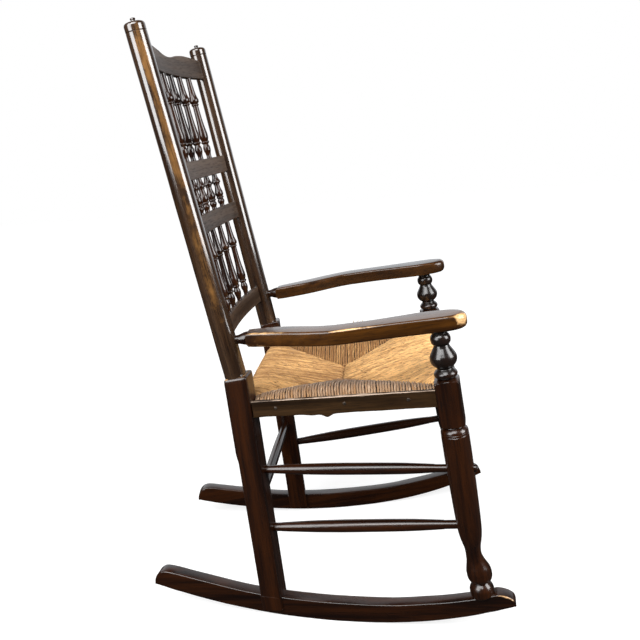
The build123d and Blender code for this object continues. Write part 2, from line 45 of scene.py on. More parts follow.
# ---- The chair's own dimensions, in millimetres, on the bench with its seat level ----
REST_LEAN = math.radians(4.4)
BENCH_SHIFT = (-75.662, 9.889)  # where the bench's origin lies in the part, in y and z
PLAN_TURN = math.radians(7.0)  # the splay of the sides towards the front
LEG_HALF = 21.0  # half the side of a leg's square
BACK_LEG = ((193.2, 178.3, 15.0), (184.0, 164.3, 496.0))
POST = ((183.0, 169.6, 505.0), (192.8, 213.8, 1066.0))
POST_HEIGHTS = (505.0, 1066.0)
POST_RADII = (20.2, 17.8)
POST_TOP = 1121.0
FRONT_LEG = ((241.8, -221.2, 40.0), (233.7, -203.8, 558.0))
RAIL_BOW = 19.0
RAIL_THICK = 11.0
RAIL_DEPTH = 35.0
BOTTOM_RAIL_Z, MIDDLE_RAIL_Z, UPPER_RAIL_Z, CREST_Z = 558.0, 757.0, 859.0, 1056.0
SPINDLES = 5
SPINDLE_PITCH = 52.4
ARM_LOW = 558.0
ARM_THICK = 26.5
STRIP_OUTER = 225.0
STRIP_SLOPE = -0.135
STRIP_SLANT = math.hypot(1, STRIP_SLOPE)
STRIP_THICK = 8.0
STRIP_LOW = 427.0
STRIP_HEIGHT = 31.0
FRONT_STRIP_Y = -228.0
ROCKER_THICK = 26.5
ROCKER_AT_ORIGIN = 217.3
ROCKER_TOP = ((-256, 54), (-200, 43), (-140, 35.5), (-50, 30.5), (63, 36), (201, 54.5), (327, 88))
SIDES = (("left", 1.0), ("right", -1.0))  # the mirrored pair: its name and the sign of x


def vec(*values):
    return np.array(values, float)


def columns(*parts):
    """Points from their coordinates, each an array or a number that they all share."""
    return np.stack(np.broadcast_arrays(*parts), -1)


def unit(v):
    """A vector, or each row of a table of them, at length 1."""
    return v / np.linalg.norm(v, axis=-1, keepdims=True)


def to_part(points):
    """Bench millimetres to the part's metres, the chair tipped back to its balance."""
    p = np.asarray(points, float)
    c, s = math.cos(REST_LEAN), math.sin(REST_LEAN)
    y = p[..., 1] * c + p[..., 2] * s + BENCH_SHIFT[0]
    z = -p[..., 1] * s + p[..., 2] * c + BENCH_SHIFT[1]
    return columns(p[..., 0], y, z) / 1000


def to_bench(point):
    """A point in the part's metres back to bench millimetres."""
    x, y, z = point[0] * 1000, point[1] * 1000 - BENCH_SHIFT[0], point[2] * 1000 - BENCH_SHIFT[1]
    c, s = math.cos(REST_LEAN), math.sin(REST_LEAN)
    return x, y * c - z * s, y * s + z * c


def seed_of(name):
    return np.random.default_rng(zlib.crc32(name.encode()))


def ripple(rng, count, pad, width):
    """Smoothed noise for an edge that was worked by hand."""
    noise = rng.normal(0, 1, count + 2 * pad)
    return np.convolve(noise, np.ones(width) / width, "same")[pad:pad + count]


def mix(a, b, t):
    return np.asarray(a, float) * (1 - t) + np.asarray(b, float) * t


def on_line(line, z):
    a, b = vec(*line[0]), vec(*line[1])
    return a + (b - a) * (z - a[2]) / (b[2] - a[2])


def flip(points, sign):
    return np.asarray(points, float) * vec(sign, 1, 1)


def flip_line(line, sign):
    return tuple(tuple(flip(p, sign)) for p in line)


def spots(points, sign, *patches):
    """Soft patches of wear on one side of the chair, each with its centre, size and amount; one
    on each arm's top is a painted sheen.
    """
    wear = 0.0
    for centre, size, amount in patches:
        d = np.linalg.norm((points - flip(centre, sign)) / size, axis=-1)
        wear = wear + amount * np.exp(-d * d)
    return wear


def put(name, data):
    obj = bpy.data.objects.new(name, data)
    bpy.context.scene.collection.objects.link(obj)
    return obj


# ---- Materials ----
class Nodes:
    """A thin helper that adds and links the shader nodes of a material or a world."""

    def __init__(self, owner):
        owner.use_nodes = True
        self.tree = owner.node_tree
        self.tree.nodes.clear()

    def fill(self, socket, value):
        if isinstance(value, bpy.types.NodeSocket):
            self.tree.links.new(value, socket)
        else:
            socket.default_value = value

    def add(self, kind, inputs=None, **settings):
        node = self.tree.nodes.new("ShaderNode" + kind)
        for key, value in settings.items():
            setattr(node, key, value)
        for key, value in (inputs or {}).items():
            self.fill(node.inputs[key], value)
        return node

    def math(self, operation, a, b):
        return self.add("Math", {0: a, 1: b}, operation=operation).outputs[0]

    def plus(self, a, b):
        return self.math("ADD", a, b)

    def minus(self, a, b):
        return self.math("SUBTRACT", a, b)

    def times(self, a, b):
        return self.math("MULTIPLY", a, b)

    def weigh(self, *terms):
        """The sum of the values, each times its weight."""
        parts = [self.times(value, weight) for value, weight in terms]
        total = parts[0]
        for part in parts[1:]:
            total = self.plus(total, part)
        return total

    def blend(self, factor, a, b, kind="MIX"):
        node = self.add("Mix", data_type="RGBA", blend_type=kind)
        for socket, value in ((0, factor), (6, a), (7, b)):
            colour = isinstance(value, (tuple, list))
            self.fill(node.inputs[socket], (*value, 1) if colour else value)
        return node.outputs[2]

    def grey(self, value):
        return self.add("CombineXYZ", {0: value, 1: value, 2: value}).outputs[0]

    def step(self, value, low, high, to_low=0.0, to_high=1.0):
        inputs = {0: value, 1: low, 2: high, 3: to_low, 4: to_high}
        return self.add("MapRange", inputs, interpolation_type="SMOOTHSTEP").outputs[0]

    def stretch(self, vector, along):
        """The grain's space, drawn out along the piece."""
        return self.add("Mapping", {"Vector": vector, "Scale": (1, 1, along)}).outputs[0]

    def noise(self, vector, scale, detail=4.0, rough=0.55, distortion=0.0):
        inputs = {"Vector": vector, "Scale": scale, "Detail": detail, "Roughness": rough,
                  "Distortion": distortion}
        return self.add("TexNoise", inputs).outputs["Fac"]

    def bump(self, height, strength, distance, over=None):
        inputs = {"Height": height, "Strength": strength, "Distance": distance}
        if over is not None:
            inputs["Normal"] = over
        return self.add("Bump", inputs).outputs[0]

    def principled(self, colour, roughness, normal, **rest):
        """The surface; a name in `rest` has _ for each blank of the socket's name."""
        inputs = {"Base Color": colour, "Roughness": roughness, "Normal": normal}
        inputs.update((name.replace("_", " "), value) for name, value in rest.items())
        shader = self.add("BsdfPrincipled", inputs)
        self.add("OutputMaterial", {"Surface": shader.outputs[0]})


def new_material(name):
    """A material with its nodes, and the grain space and the wear, dirt and painted light of
    the meshes.
    """
    material = bpy.data.materials.new(name)
    n = Nodes(material)
    grain = n.add("Attribute", attribute_name="grain").outputs["Vector"]
    wear = n.add("Attribute", attribute_name="wear").outputs["Fac"]
    return material, n, grain, wear


# near black: old grime on the front legs' turnings, and painted shade on the far arm
GRIME_AND_SHADE = (0.0085, 0.0062, 0.0050)
PALE_BLADE = (0.60, 0.43, 0.29)


def wood(name, dark, brown, worn, rough=0.3, coat=0.35, coat_rough=0.2, pore_depth=0.45,
         coat_ior=1.5):
    """Old waxed wood: long streaks, open pores, worn edges and a soft polish. Where the wear
    is below nought the wood is black: old grime on the front legs, painted shade on the far arm."""
    material, n, grain, wear = new_material(name)
    long = n.stretch(grain, 0.06)
    streak = n.noise(long, 70, 6, 0.6, 0.4)
    broad = n.noise(n.stretch(grain, 0.025), 26, 3, 0.5, 0.6)
    pore = n.noise(long, 620, 3, 0.65)
    fleck = n.noise(grain, 240, 3, 0.6)
    patch = n.noise(grain, 14, 4, 0.6)
    chip = n.noise(n.stretch(grain, 0.3), 110, 4, 0.65)
    colour = n.blend(n.step(n.weigh((streak, 0.6), (broad, 0.4)), 0.36, 0.66), dark, brown)
    ragged = n.weigh((patch, 0.55), (streak, 0.35), (chip, 0.6), (fleck, 0.15))
    amount = n.plus(wear, n.minus(ragged, 1.32))
    thinned = [b * 0.45 + w * 0.36 for b, w in zip(brown, worn)]
    colour = n.blend(n.step(amount, -0.04, 0.09), colour, thinned)
    colour = n.blend(n.step(amount, 0.05, 0.24), colour, worn)
    # black where the wear value is below nought: old grime on the front legs, painted shade on
    # the far arm
    colour = n.blend(n.step(wear, -0.05, -0.5), colour, GRIME_AND_SHADE)
    pores = n.step(pore, 0.34, 0.5)
    shade = n.plus(n.times(pores, pore_depth), 1 - pore_depth)
    colour = n.blend(1.0, colour, n.grey(shade), "MULTIPLY")
    roughness = n.plus(n.times(patch, 0.22), rough - 0.11)
    roughness = n.plus(roughness, n.times(n.minus(1.0, pores), 0.16))
    fine = n.bump(n.weigh((pores, 0.5), (streak, 0.5), (fleck, 0.15)), 0.12, 0.0001)
    dented = n.bump(n.noise(grain, 42, 2, 0.5), 0.12, 0.0004, fine)
    n.principled(
        colour, roughness, dented, Coat_Weight=coat, Coat_Roughness=coat_rough,
        Coat_IOR=coat_ior, Specular_IOR_Level=0.1, Coat_Normal=dented,
    )
    return material


def rush_material(name, light, tan, brown, grey):
    """Twisted rush: fibres that wind along the strand, dry pale blades, and darker tan and grey
    where the mesh's value for dirt and painted shade is high.
    """
    material, n, grain, dirt_and_shade = new_material(name)
    fibre = n.noise(n.stretch(grain, 0.09), 1500, 3, 0.6)
    blade = n.noise(n.stretch(grain, 0.16), 330, 3, 0.55)
    strand = n.noise(n.stretch(grain, 0.05), 60, 3, 0.75)
    cloud = n.noise(n.add("TexCoord").outputs["Object"], 11, 3, 0.5)
    tone = n.step(n.weigh((strand, 0.72), (blade, 0.28)), 0.35, 0.59, 0.22, 1.0)
    colour = n.blend(tone, tan, light)
    colour = n.blend(n.times(n.step(cloud, 0.4, 0.75), 0.25), colour, tan)
    colour = n.blend(n.step(blade, 0.42, 0.27), colour, brown)
    colour = n.blend(n.times(n.step(fibre, 0.5, 0.3), 0.55), colour, brown)
    # the mesh's value carries dirt and painted shade: the back and side sections go darker tan as
    # painted shade, and grey where the value is highest
    soiled_and_shaded = n.plus(dirt_and_shade, n.times(n.minus(cloud, 0.5), 0.3))
    colour = n.blend(n.times(n.step(soiled_and_shaded, 0.0, 0.5), 0.88), colour, tan)
    colour = n.blend(n.times(n.step(soiled_and_shaded, 0.45, 0.95), 0.8), colour, grey)
    pale = n.times(n.step(blade, 0.55, 0.66), n.step(soiled_and_shaded, 0.5, 0.8))
    colour = n.blend(n.times(pale, 0.6), colour, PALE_BLADE)
    normal = n.bump(n.plus(n.times(fibre, 0.5), blade), 0.7, 0.0007)
    n.principled(
        colour, n.plus(n.times(fibre, 0.25), 0.5), normal, Specular_IOR_Level=0.35,
        Sheen_Weight=0.12, Sheen_Roughness=0.5,
    )
    return material


def iron_material():
    material = bpy.data.materials.new("nail_iron")
    n = Nodes(material)
    rust = n.noise(n.add("TexCoord").outputs["Object"], 900, 3, 0.6)
    colour = n.blend(n.step(rust, 0.4, 0.65), (0.030, 0.023, 0.018), (0.12, 0.092, 0.072))
    roughness = n.plus(n.times(rust, 0.4), 0.25)
    n.principled(colour, roughness, n.bump(rust, 0.4, 0.0003), Metallic=0.7)
    return material


DARK = wood(
    "dark_waxed_wood", (0.0058, 0.0014, 0.0004), (0.034, 0.0092, 0.0018), (0.62, 0.38, 0.19),
    coat=0.9, coat_ior=1.55,
)
ARM_WOOD = wood(
    "arm_wood", (0.016, 0.0050, 0.0008), (0.086, 0.031, 0.0045), (0.78, 0.47, 0.21),
    coat=0.9, coat_ior=1.48,
)
POST_WOOD = wood(
    "post_wood", (0.014, 0.006, 0.003), (0.052, 0.026, 0.012), (0.205, 0.098, 0.030),
    rough=0.28, coat=1.0, coat_rough=0.13, pore_depth=0.65, coat_ior=1.85,
)
RAIL_WOOD = wood(
    "rail_wood", (0.034, 0.020, 0.012), (0.090, 0.056, 0.036), (0.26, 0.16, 0.09),
    rough=0.45, coat=0.12,
)
STRIP_WOOD = wood(
    "strip_wood", (0.010, 0.0046, 0.0016), (0.050, 0.025, 0.0095), (0.50, 0.38, 0.29),
    rough=0.45, coat=0.1,
)
HIDDEN_WOOD = wood(
    "hidden_rail_wood", (0.10, 0.055, 0.028), (0.25, 0.15, 0.08), (0.4, 0.28, 0.17),
    rough=0.55, coat=0.05,
)
RUSH = rush_material(
    "twisted_rush", (0.94, 0.55, 0.21), (0.25, 0.112, 0.032), (0.075, 0.030, 0.009),
    (0.29, 0.19, 0.12),
)
# the stuffing's colours are near black, as painted shade in the gaps between the strands
SHADED_STUFFING = rush_material(
    "rush_stuffing", (0.10, 0.05, 0.02), (0.05, 0.025, 0.010), (0.02, 0.010, 0.005),
    (0.04, 0.025, 0.017),
)
IRON = iron_material()


# ---- Mesh building ----
def add_piece(name, verts, faces, grain, wear, material, nodes=(), sharp=38.0):
    """A mesh object from bench points, with its grain space, and its wear, dirt and painted
    light on the vertices.
    """
    mesh = bpy.data.meshes.new(name)
    mesh.from_pydata(to_part(verts).tolist(), [], faces)
    offset = seed_of(name).uniform(-3, 3, 3)
    space = mesh.attributes.new("grain", "FLOAT_VECTOR", "POINT")
    metres = (np.asarray(grain) / 1000 + offset).astype(np.float32)
    space.data.foreach_set("vector", metres.ravel())
    # this value holds wear and dirt, and also painted shade on the far arm and the rush, and a
    # painted sheen on the arm tops
    worn = mesh.attributes.new("wear", "FLOAT", "POINT")
    worn.data.foreach_set("value", np.asarray(wear, np.float32).ravel())
    bm = bmesh.new()
    bm.from_mesh(mesh)
    bmesh.ops.remove_doubles(bm, verts=bm.verts, dist=2e-6)
    bmesh.ops.recalc_face_normals(bm, faces=bm.faces)
    bm.to_mesh(mesh)
    bm.free()
    mesh.polygons.foreach_set("use_smooth", [True] * len(mesh.polygons))
    if sharp:
        mesh.set_sharp_from_angle(angle=math.radians(sharp))
    mesh.materials.append(material)
    piece = put(name, mesh)
    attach(piece, "root")
    if nodes:
        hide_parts(*nodes)
    return piece


def ring_faces(rings, around, first=0):
    """Quads between successive rings of points, and a face over each end."""
    faces = []
    for i in range(rings - 1):
        for j in range(around):
            a = first + i * around + j
            b = first + i * around + (j + 1) % around
            faces.append((a, b, b + around, a + around))
    faces.append(tuple(first + j for j in reversed(range(around))))
    faces.append(tuple(first + (rings - 1) * around + j for j in range(around)))
    return faces


class Heap:
    """Many small closed forms that make one piece."""

    def __init__(self):
        self.verts, self.grain, self.wear, self.faces, self.count = [], [], [], [], 0

    def add(self, points, grain, wear, around):
        """A form whose points come in rings of `around`."""
        self.faces.extend(ring_faces(len(points) // around, around, self.count))
        self.verts.append(points)
        self.grain.append(grain)
        self.wear.append(np.full(len(points), float(wear)) if np.ndim(wear) == 0 else wear)
        self.count += len(points)

    def piece(self, name, material, slot, nodes, sharp):
        verts, grain, wear = (np.concatenate(v) for v in (self.verts, self.grain, self.wear))
        add_piece(name, verts, self.faces, grain, wear, material, nodes, sharp)


def flow(points, step=1.5):
    """A curve through (along, value) points that never overshoots them."""
    p = np.array(points, float)
    s, r = p[:, 0], p[:, 1]
    if len(s) == 2:
        count = max(2, int(abs(s[1] - s[0]) / (step * 6)) + 2)
        t = np.linspace(0, 1, count)
        return columns(mix(s[0], s[1], t), mix(r[0], r[1], t))
    h = np.diff(s)
    d = np.diff(r) / h
    m = np.zeros(len(s))
    m[0], m[-1] = d[0], d[-1]
    for i in range(1, len(s) - 1):
        if d[i - 1] * d[i] > 0:
            w1, w2 = 2 * h[i] + h[i - 1], h[i] + 2 * h[i - 1]
            m[i] = (w1 + w2) / (w1 / d[i - 1] + w2 / d[i])
    out = []
    for i in range(len(s) - 1):
        count = max(2, int(h[i] / step) + 1)
        t = np.arange(count) / count
        a = (1 + 2 * t) * (1 - t) ** 2
        b = t * (1 - t) ** 2
        c = t * t * (3 - 2 * t)
        e = t * t * (t - 1)
        value = a * r[i] + b * h[i] * m[i] + c * r[i + 1] + e * h[i] * m[i + 1]
        out.append(columns(s[i] + t * h[i], value))
    out.append(p[-1:])
    return np.concatenate(out)


def profile(first, *others, step=1.5):
    """Stretches of a turning with a crease between them. Each starts where the one before
    ends, or at a first point of its own where that is at the same place along."""
    parts, last = [flow(first, step)], first[-1]
    for stretch in others:
        if stretch[0][0] > last[0]:
            stretch = [last] + stretch
        parts.append(flow(stretch, step))
        last = stretch[-1]
    return np.concatenate(parts)


def shares(points):
    """How far along a line its points lie, from 0 to 1."""
    gaps = np.linalg.norm(np.diff(points, axis=0), axis=1)
    return np.concatenate([[0], np.cumsum(gaps)]) / gaps.sum()


def resample(points, at, keep):
    return columns(*(np.interp(keep, at, points[:, k]) for k in (0, 1)))


def axis_frame(start, end, turn=0.0):
    start, end = vec(*start), vec(*end)
    along = unit(end - start)
    across = vec(math.cos(turn), math.sin(turn), 0) if abs(along[2]) > 0.5 else vec(0, 0, 1)
    across = unit(across - along * across.dot(along))
    return start, across, np.cross(along, across), along


def proud(s, r, reach=9.0):
    """How much each point of a turning stands out from its neighbours, as wear."""
    out = np.zeros(len(s))
    for i in range(len(s)):
        near = np.abs(s - s[i]) < reach
        out[i] = np.clip((r[i] - r[near].mean()) / 3.0, 0, 1)
    return out


def square_angles():
    """Where a ring that has a squared stretch has its points: most of them at the corners."""
    near = np.linspace(-0.11, 0.11, 4)
    flat = np.linspace(0.16, math.pi / 2 - 0.16, 8)
    angles = [part + q * math.pi / 2 + math.pi / 4 for part in (flat, near) for q in range(4)]
    return np.sort(np.concatenate(angles) % (2 * math.pi))


def square_reach(angles, half, corner):
    """How far out a square with rounded corners reaches at each angle."""
    a = np.abs((angles + math.pi / 4) % (math.pi / 2) - math.pi / 4)
    inner = (half - corner) * math.sqrt(2)
    off = inner * np.sin(math.pi / 4 - a)
    rounded = inner * np.cos(math.pi / 4 - a) + np.sqrt(np.maximum(corner ** 2 - off ** 2, 0))
    limit = np.where(off < corner * math.sin(math.pi / 4), rounded, half / np.cos(a))
    return np.minimum(limit, inner + corner)


def turned(name, line, outline, material, nodes=(), turn=0.0, around=44, centre=None,
           square=None, wear=0.0, wear_at=None, uneven=0.12, sharp=38.0, bead_wear=0.4):
    """A turned piece on a line. `centre` shifts the turning's centre along its length, and
    `square` limits a stretch to a squared block: half its side, its corner's radius, and
    where it starts and ends."""
    origin, ex, ey, ez = axis_frame(*line, turn)
    s, r = outline[:, 0], outline[:, 1]
    rng = seed_of(name)
    angles = np.linspace(0, 2 * math.pi, around, endpoint=False)
    if square:
        angles = square_angles()
    radius = np.repeat(r[:, None], len(angles), 1)
    phase = rng.uniform(0, 6.28, 3)
    oval = uneven * np.cos(2 * angles[None, :] + phase[0] + s[:, None] * 0.004)
    oval = oval + uneven * 0.5 * np.sin(s[:, None] * 0.05 + phase[1])
    radius = radius + oval * np.clip(r[:, None] / 12, 0, 1)
    worn = np.repeat((wear + bead_wear * proud(s, r))[:, None], len(angles), 1)
    if square:
        half, corner, low, high = square
        inside = (s >= low) & (s <= high)
        limit = square_reach(angles, half, corner)
        radius[inside] = np.minimum(radius[inside], limit[None, :])
        edge = np.clip((radius - (half + 3.0)) / 4.0, 0, 1)
        worn = worn + edge * 0.12 * ((s > low) & (s < high))[:, None]
    cy = np.zeros(len(s)) if centre is None else np.interp(s, *centre)
    lx = radius * np.cos(angles)[None, :]
    ly = radius * np.sin(angles)[None, :] + cy[:, None]
    lz = np.repeat(s[:, None], len(angles), 1)
    points = (origin + lx[..., None] * ex + ly[..., None] * ey + lz[..., None] * ez)
    points = points.reshape(-1, 3)
    grain = columns(lx, ly, lz).reshape(-1, 3)
    worn = worn.reshape(-1)
    if wear_at:
        worn = worn + wear_at(points)
    faces = ring_faces(len(s), len(angles))
    return add_piece(name, points, faces, grain, worn, material, nodes, sharp)


def outline_normals(lower, upper):
    loop = np.concatenate([lower, upper[::-1]])
    after = np.roll(loop, -1, 0)
    tangent = unit(after - np.roll(loop, 1, 0))
    normal = columns(tangent[:, 1], -tangent[:, 0])
    if np.sum(loop[:, 0] * after[:, 1] - after[:, 0] * loop[:, 1]) < 0:
        normal = -normal
    count = len(lower)
    return normal[:count], normal[count:][::-1]


# an eased edge, as shares of its radius inwards and upwards, and how worn its points are
EDGE_ROUND = [(1.0, 0.0), (0.62, 0.07), (0.29, 0.29), (0.07, 0.62), (0.0, 1.0)]
EDGE_WORN = [0.3, 0.8, 1.0, 0.8, 0.3, 0.0, 0.3, 0.8, 1.0, 0.8, 0.3]


def board(name, lower, upper, thick, place, material, nodes=(), edge=(3.0, 3.0), across=8,
          wear=0.0, edge_wear=0.35, wear_at=None, crown=0.0, rough_edge=0.0, sharp=50.0,
          ease=None):
    """A board whose plan runs between two curves, its long edges eased. `place` takes along,
    across and height to a bench point."""
    lower, upper = np.asarray(lower, float), np.asarray(upper, float)
    n_low, n_up = outline_normals(lower, upper)
    count = len(lower)
    ragged = ripple(seed_of(name), count, 4, 5) * rough_edge
    ring, worn = [], []
    for i in range(count):
        more = 1.0 if ease is None else ease[i]
        rb, rt = edge[0] * more, edge[1] * more
        levels = [(rb * a, rb * b) for a, b in EDGE_ROUND]
        levels.append((0.0, mix(rb, thick - rt, 0.5)))
        levels += [(rt * a, thick - rt * b) for a, b in reversed(EDGE_ROUND)]
        ends = [(upper[i], n_up[i], ragged[i]), (lower[i], n_low[i], ragged[count - 1 - i])]
        # up the one edge and over the top, then down the other and back underneath
        for way, inset, height, rise in ((1, rt, thick, crown), (-1, rb, 0.0, 0.0)):
            (here, out, jag), (there, there_out, _) = ends[::way]
            for (back, level), w in zip(levels[::way], EDGE_WORN):
                ring.append((*(here - out * (back + jag * w)), level))
                worn.append(w)
            for k in range(1, across):
                q = mix(here - out * inset, there - there_out * inset, k / across)
                ring.append((*q, height + rise * math.sin(math.pi * k / across)))
                worn.append(0.0)
    flat = np.array(ring, float)
    points = place(flat)
    worn = wear + edge_wear * np.array(worn)
    if wear_at:
        worn = worn + wear_at(points)
    faces = ring_faces(count, len(flat) // count)
    grain = flat[:, [2, 1, 0]]
    return add_piece(name, points, faces, grain, worn, material, nodes, sharp)


# ---- Rockers ----
def rocker_curves():
    """The sole from nose to tail, and the top over the rounded nose and heel."""
    low_y, low_z = -35.0, -8.5
    back_r, front_r = 1252.0, 835.0
    run = [np.linspace(-286, -240, 16), np.linspace(-225, 412, 65), np.linspace(415, 424.5, 5)]
    run = np.concatenate(run)
    radius = np.where(run > low_y, back_r, front_r)
    lower = columns(run, low_z + radius - np.sqrt(radius ** 2 - (run - low_y) ** 2))
    nose = [tuple(lower[0] + vec(0.3, 0.4)), (-286, 31), (-285.4, 36), (-284, 41),
            (-280, 45.5), (-274, 49.2), (-266, 52.2)]
    top = [tuple(q) for q in flow([*ROCKER_TOP, (383, 105.0)], 6)]
    heel = [(391, 106.9), (399, 107.4), (406, 106.0), (412, 102.8), (417, 98.0), (420.5, 92.5),
            (422.6, 87)]
    tail = [tuple(mix(heel[-1], lower[-1], 0.6)), tuple(lower[-1] + vec(-0.3, 0.4))]
    upper = np.array(nose + top + heel + tail)
    keep = [np.linspace(0, 0.09, 18), np.linspace(0.1, 0.9, 58), np.linspace(0.905, 1, 20)]
    keep = np.unique(np.round(np.concatenate(keep), 5))
    return resample(lower, shares(lower), keep), resample(upper, shares(upper), keep)


def rocker_top(y):
    """Height of the rocker's top under a foot."""
    run = y / math.cos(PLAN_TURN)
    return np.interp(run, *zip(*ROCKER_TOP))


def rockers():
    low, top = rocker_curves()
    c, s = math.cos(PLAN_TURN), math.sin(PLAN_TURN)
    for side, sign in SIDES:
        def place(q):
            run, up, off = q[:, 0], q[:, 1], q[:, 2] - ROCKER_THICK / 2
            x = ROCKER_AT_ORIGIN - run * s + off * c
            return flip(columns(x, run * c + off * s, up), sign)

        def worn(p):
            """Nose and belly."""
            return spots(p, sign, ((266, -270, 50), (6, 22, 9), 0.42),
                         ((228, -90, 32), (18, 120, 7), 0.12))

        board(
            "sawn_rocker_" + side, low, top, ROCKER_THICK, place, DARK, ("rocker_" + side,),
            edge=(2.6, 2.6), edge_wear=0.34, wear_at=worn, rough_edge=0.4, across=6,
        )


# ---- Back posts and their square legs ----
def post_outline():
    up = math.dist(*POST) / (POST[1][2] - POST[0][2])
    top = (POST_TOP - POST[0][2]) * up
    r_top = np.interp(POST_TOP, POST_HEIGHTS, POST_RADII)
    taper = (POST_RADII[1] - POST_RADII[0]) / ((POST_HEIGHTS[1] - POST_HEIGHTS[0]) * up)

    def at(s):
        return POST_RADII[0] + taper * s

    cut = top - 15
    r_cut = at(cut)
    return profile(
        [(-10, 19.6), (0, 20.1), (120, at(120)), (300, at(300)), (cut - 1, r_cut)],
        [(cut, r_cut - 0.8), (cut + 1, r_cut)],
        [(top - 5.5, r_top), (top - 3, r_top - 0.7), (top - 1.2, r_top - 2.2),
         (top, r_top - 5)],
        [(top + 0.9, 7.0)],
        [(top + 1.1, 4.4), (top + 3.0, 3.7), (top + 4.4, 4.7), (top + 5.8, 4.3),
         (top + 6.7, 2.6), (top + 7.0, 0.8)],
    )


def leg_ring():
    """A square leg's section, its corners rounded."""
    corner = 4.5
    flat = 2 * (LEG_HALF - corner)
    ring = []
    for q in range(4):
        start = q * math.pi / 2
        cx = (LEG_HALF - corner) * (1 if q in (0, 3) else -1)
        cy = (LEG_HALF - corner) * (1 if q in (0, 1) else -1)
        for a in start + np.linspace(0, math.pi / 2, 5):
            ring.append((cx + corner * math.cos(a), cy + corner * math.sin(a)))
        x, y = ring[-1]
        for k in (0.2, 0.4, 0.6, 0.8):
            ring.append((x - math.cos(start) * flat * k, y - math.sin(start) * flat * k))
    return np.array(ring)


def round_post(side, sign, line):
    def worn(p):
        """The rubbed outer face, from the arm to the top."""
        x, y, z = p[:, 0] * sign, p[:, 1], p[:, 2]
        outward = np.clip((x - np.interp(z, POST_HEIGHTS, (183, 192.8))) / 18, -1, 1)
        front = np.clip(-(y - np.interp(z, POST_HEIGHTS, (167.8, 211.4))) / 18, -1, 1)
        rub = np.clip(outward * 0.97 + front * 0.42, 0, 1) ** 2.6
        heights = [500, 560, 700, 850, 1050, 1121]
        return rub * np.interp(z, heights, [0.2, 0.36, 0.5, 0.6, 0.72, 0.62])

    turned(
        "round_post_" + side, line, post_outline(), POST_WOOD, ("back_post_" + side,),
        wear_at=worn, around=56, uneven=0.15, sharp=30, bead_wear=0.0,
    )


def square_leg(side, sign, line):
    """The post's square leg, with a step at its back and its top cut square to the post."""
    ring = leg_ring()
    stations = np.concatenate([
        [0], np.linspace(6, 322, 22), [327, 331, 335, 341, 352], np.linspace(370, 478, 9),
        [486, 488.5, 490.0, 490.7],
    ])
    origin, ex, ey, ez = axis_frame(*flip_line(BACK_LEG, sign), PLAN_TURN * sign)
    shoulder, _, _, upward = axis_frame(*line)
    wave = ripple(seed_of("leg" + side), len(stations), 4, 5)
    points, grain, wear = [], [], []
    for i, s in enumerate(stations):
        step = np.interp(s, [322, 341], [0.0, 2.5])
        shrink = np.interp(s, [486, 488.5, 490.0, 490.7], [0.0, 0.5, 1.4, 2.8])
        scale = (LEG_HALF - shrink) / LEG_HALF
        for x, y in ring:
            x_out = x * scale + 0.15 * wave[i]
            y_out = (y + (step if y > 0 else 0.0)) * scale
            p = origin + x_out * ex + y_out * ey + s * ez
            if i == 0:
                p[2] = rocker_top(p[1]) - 0.4
            points.append(p)
            grain.append((x_out, y_out, s))
            corner = math.hypot(x, y) > 25.5
            wear.append((0.26 if corner else 0.0) + (0.25 if shrink > 0.5 else 0.0))
    points = np.array(points)
    along = np.repeat(stations, len(ring))
    lift = np.where(along > 480, along - 490.6 - (points - shoulder) @ upward, 0.0)
    points = points + lift[:, None] * upward
    faces = ring_faces(len(stations), len(ring))
    add_piece("square_leg_" + side, points, faces, grain, wear, DARK, (), 42)


def back_posts():
    for side, sign in SIDES:
        line = flip_line(POST, sign)
        round_post(side, sign, line)
        square_leg(side, sign, line)


# ---- Front legs ----
CLUB_CENTRE = ([-20, 34, 50, 63, 76, 90, 112], [-5.2, -5.4, -5.2, -4.4, -2.2, -0.2, 0.0])
LEG_BLOCK = (LEG_HALF, 3.0, 346.5, 434.0)


def front_leg_outline():
    """Bun, club and shaft, two cut lines, a hollow, the block, and the turning over it."""
    return profile(
        [(-9, 15.6), (-3, 18.2), (4, 20.6), (12, 22.1), (19, 22.1), (26, 19.6), (31, 15.6),
         (34, 12.6)],
        [(36.5, 17.4), (41, 21.2), (48, 22.7), (55, 22.7), (63, 21.4), (72, 18.4), (82, 15.6),
         (90, 14.4), (96, 14.2), (106, 15.1), (118, 17.8), (130, 20.1), (142, 21.5),
         (160, 22.3), (200, 23.4), (250, 24.2), (300, 24.5), (328.6, 24.5)],
        [(329.8, 23.3), (331.0, 24.4)],
        [(333.0, 24.4), (334.2, 23.1), (335.4, 24.2)],
        [(337.2, 23.8), (339.4, 22.7), (341.6, 20.9), (343.4, 18.7), (344.6, 17.6),
         (345.8, 17.5), (346.8, 19.0), (347.2, 20.6)],
        [(348.4, 25.2), (350.2, 28.4), (353, 31)],
        [(426.5, 31)],
        [(428.6, 29.0), (430.4, 25.0), (431.8, 20.6), (432.8, 17.0), (433.6, 14.6)],
        [(434.8, 16.4), (437.2, 19.2), (440.4, 20.4), (443.2, 20.1), (446.8, 17.6),
         (449.8, 14.6)],
        [(451.0, 13.6), (452.4, 13.5), (454.2, 14.8)],
        [(456, 17.4), (459, 20.3), (463, 22.4), (468, 23.4), (473, 22.9), (479, 20.2),
         (485, 16.8), (489.5, 14.2), (493, 13.0)],
        [(494.4, 14.4), (497, 16.3), (500, 17.2), (504, 17.4), (508, 16.6), (511, 15.0),
         (513, 13.2)],
        [(515.5, 12.9), (521, 12.9)],
        step=1.2,
    )


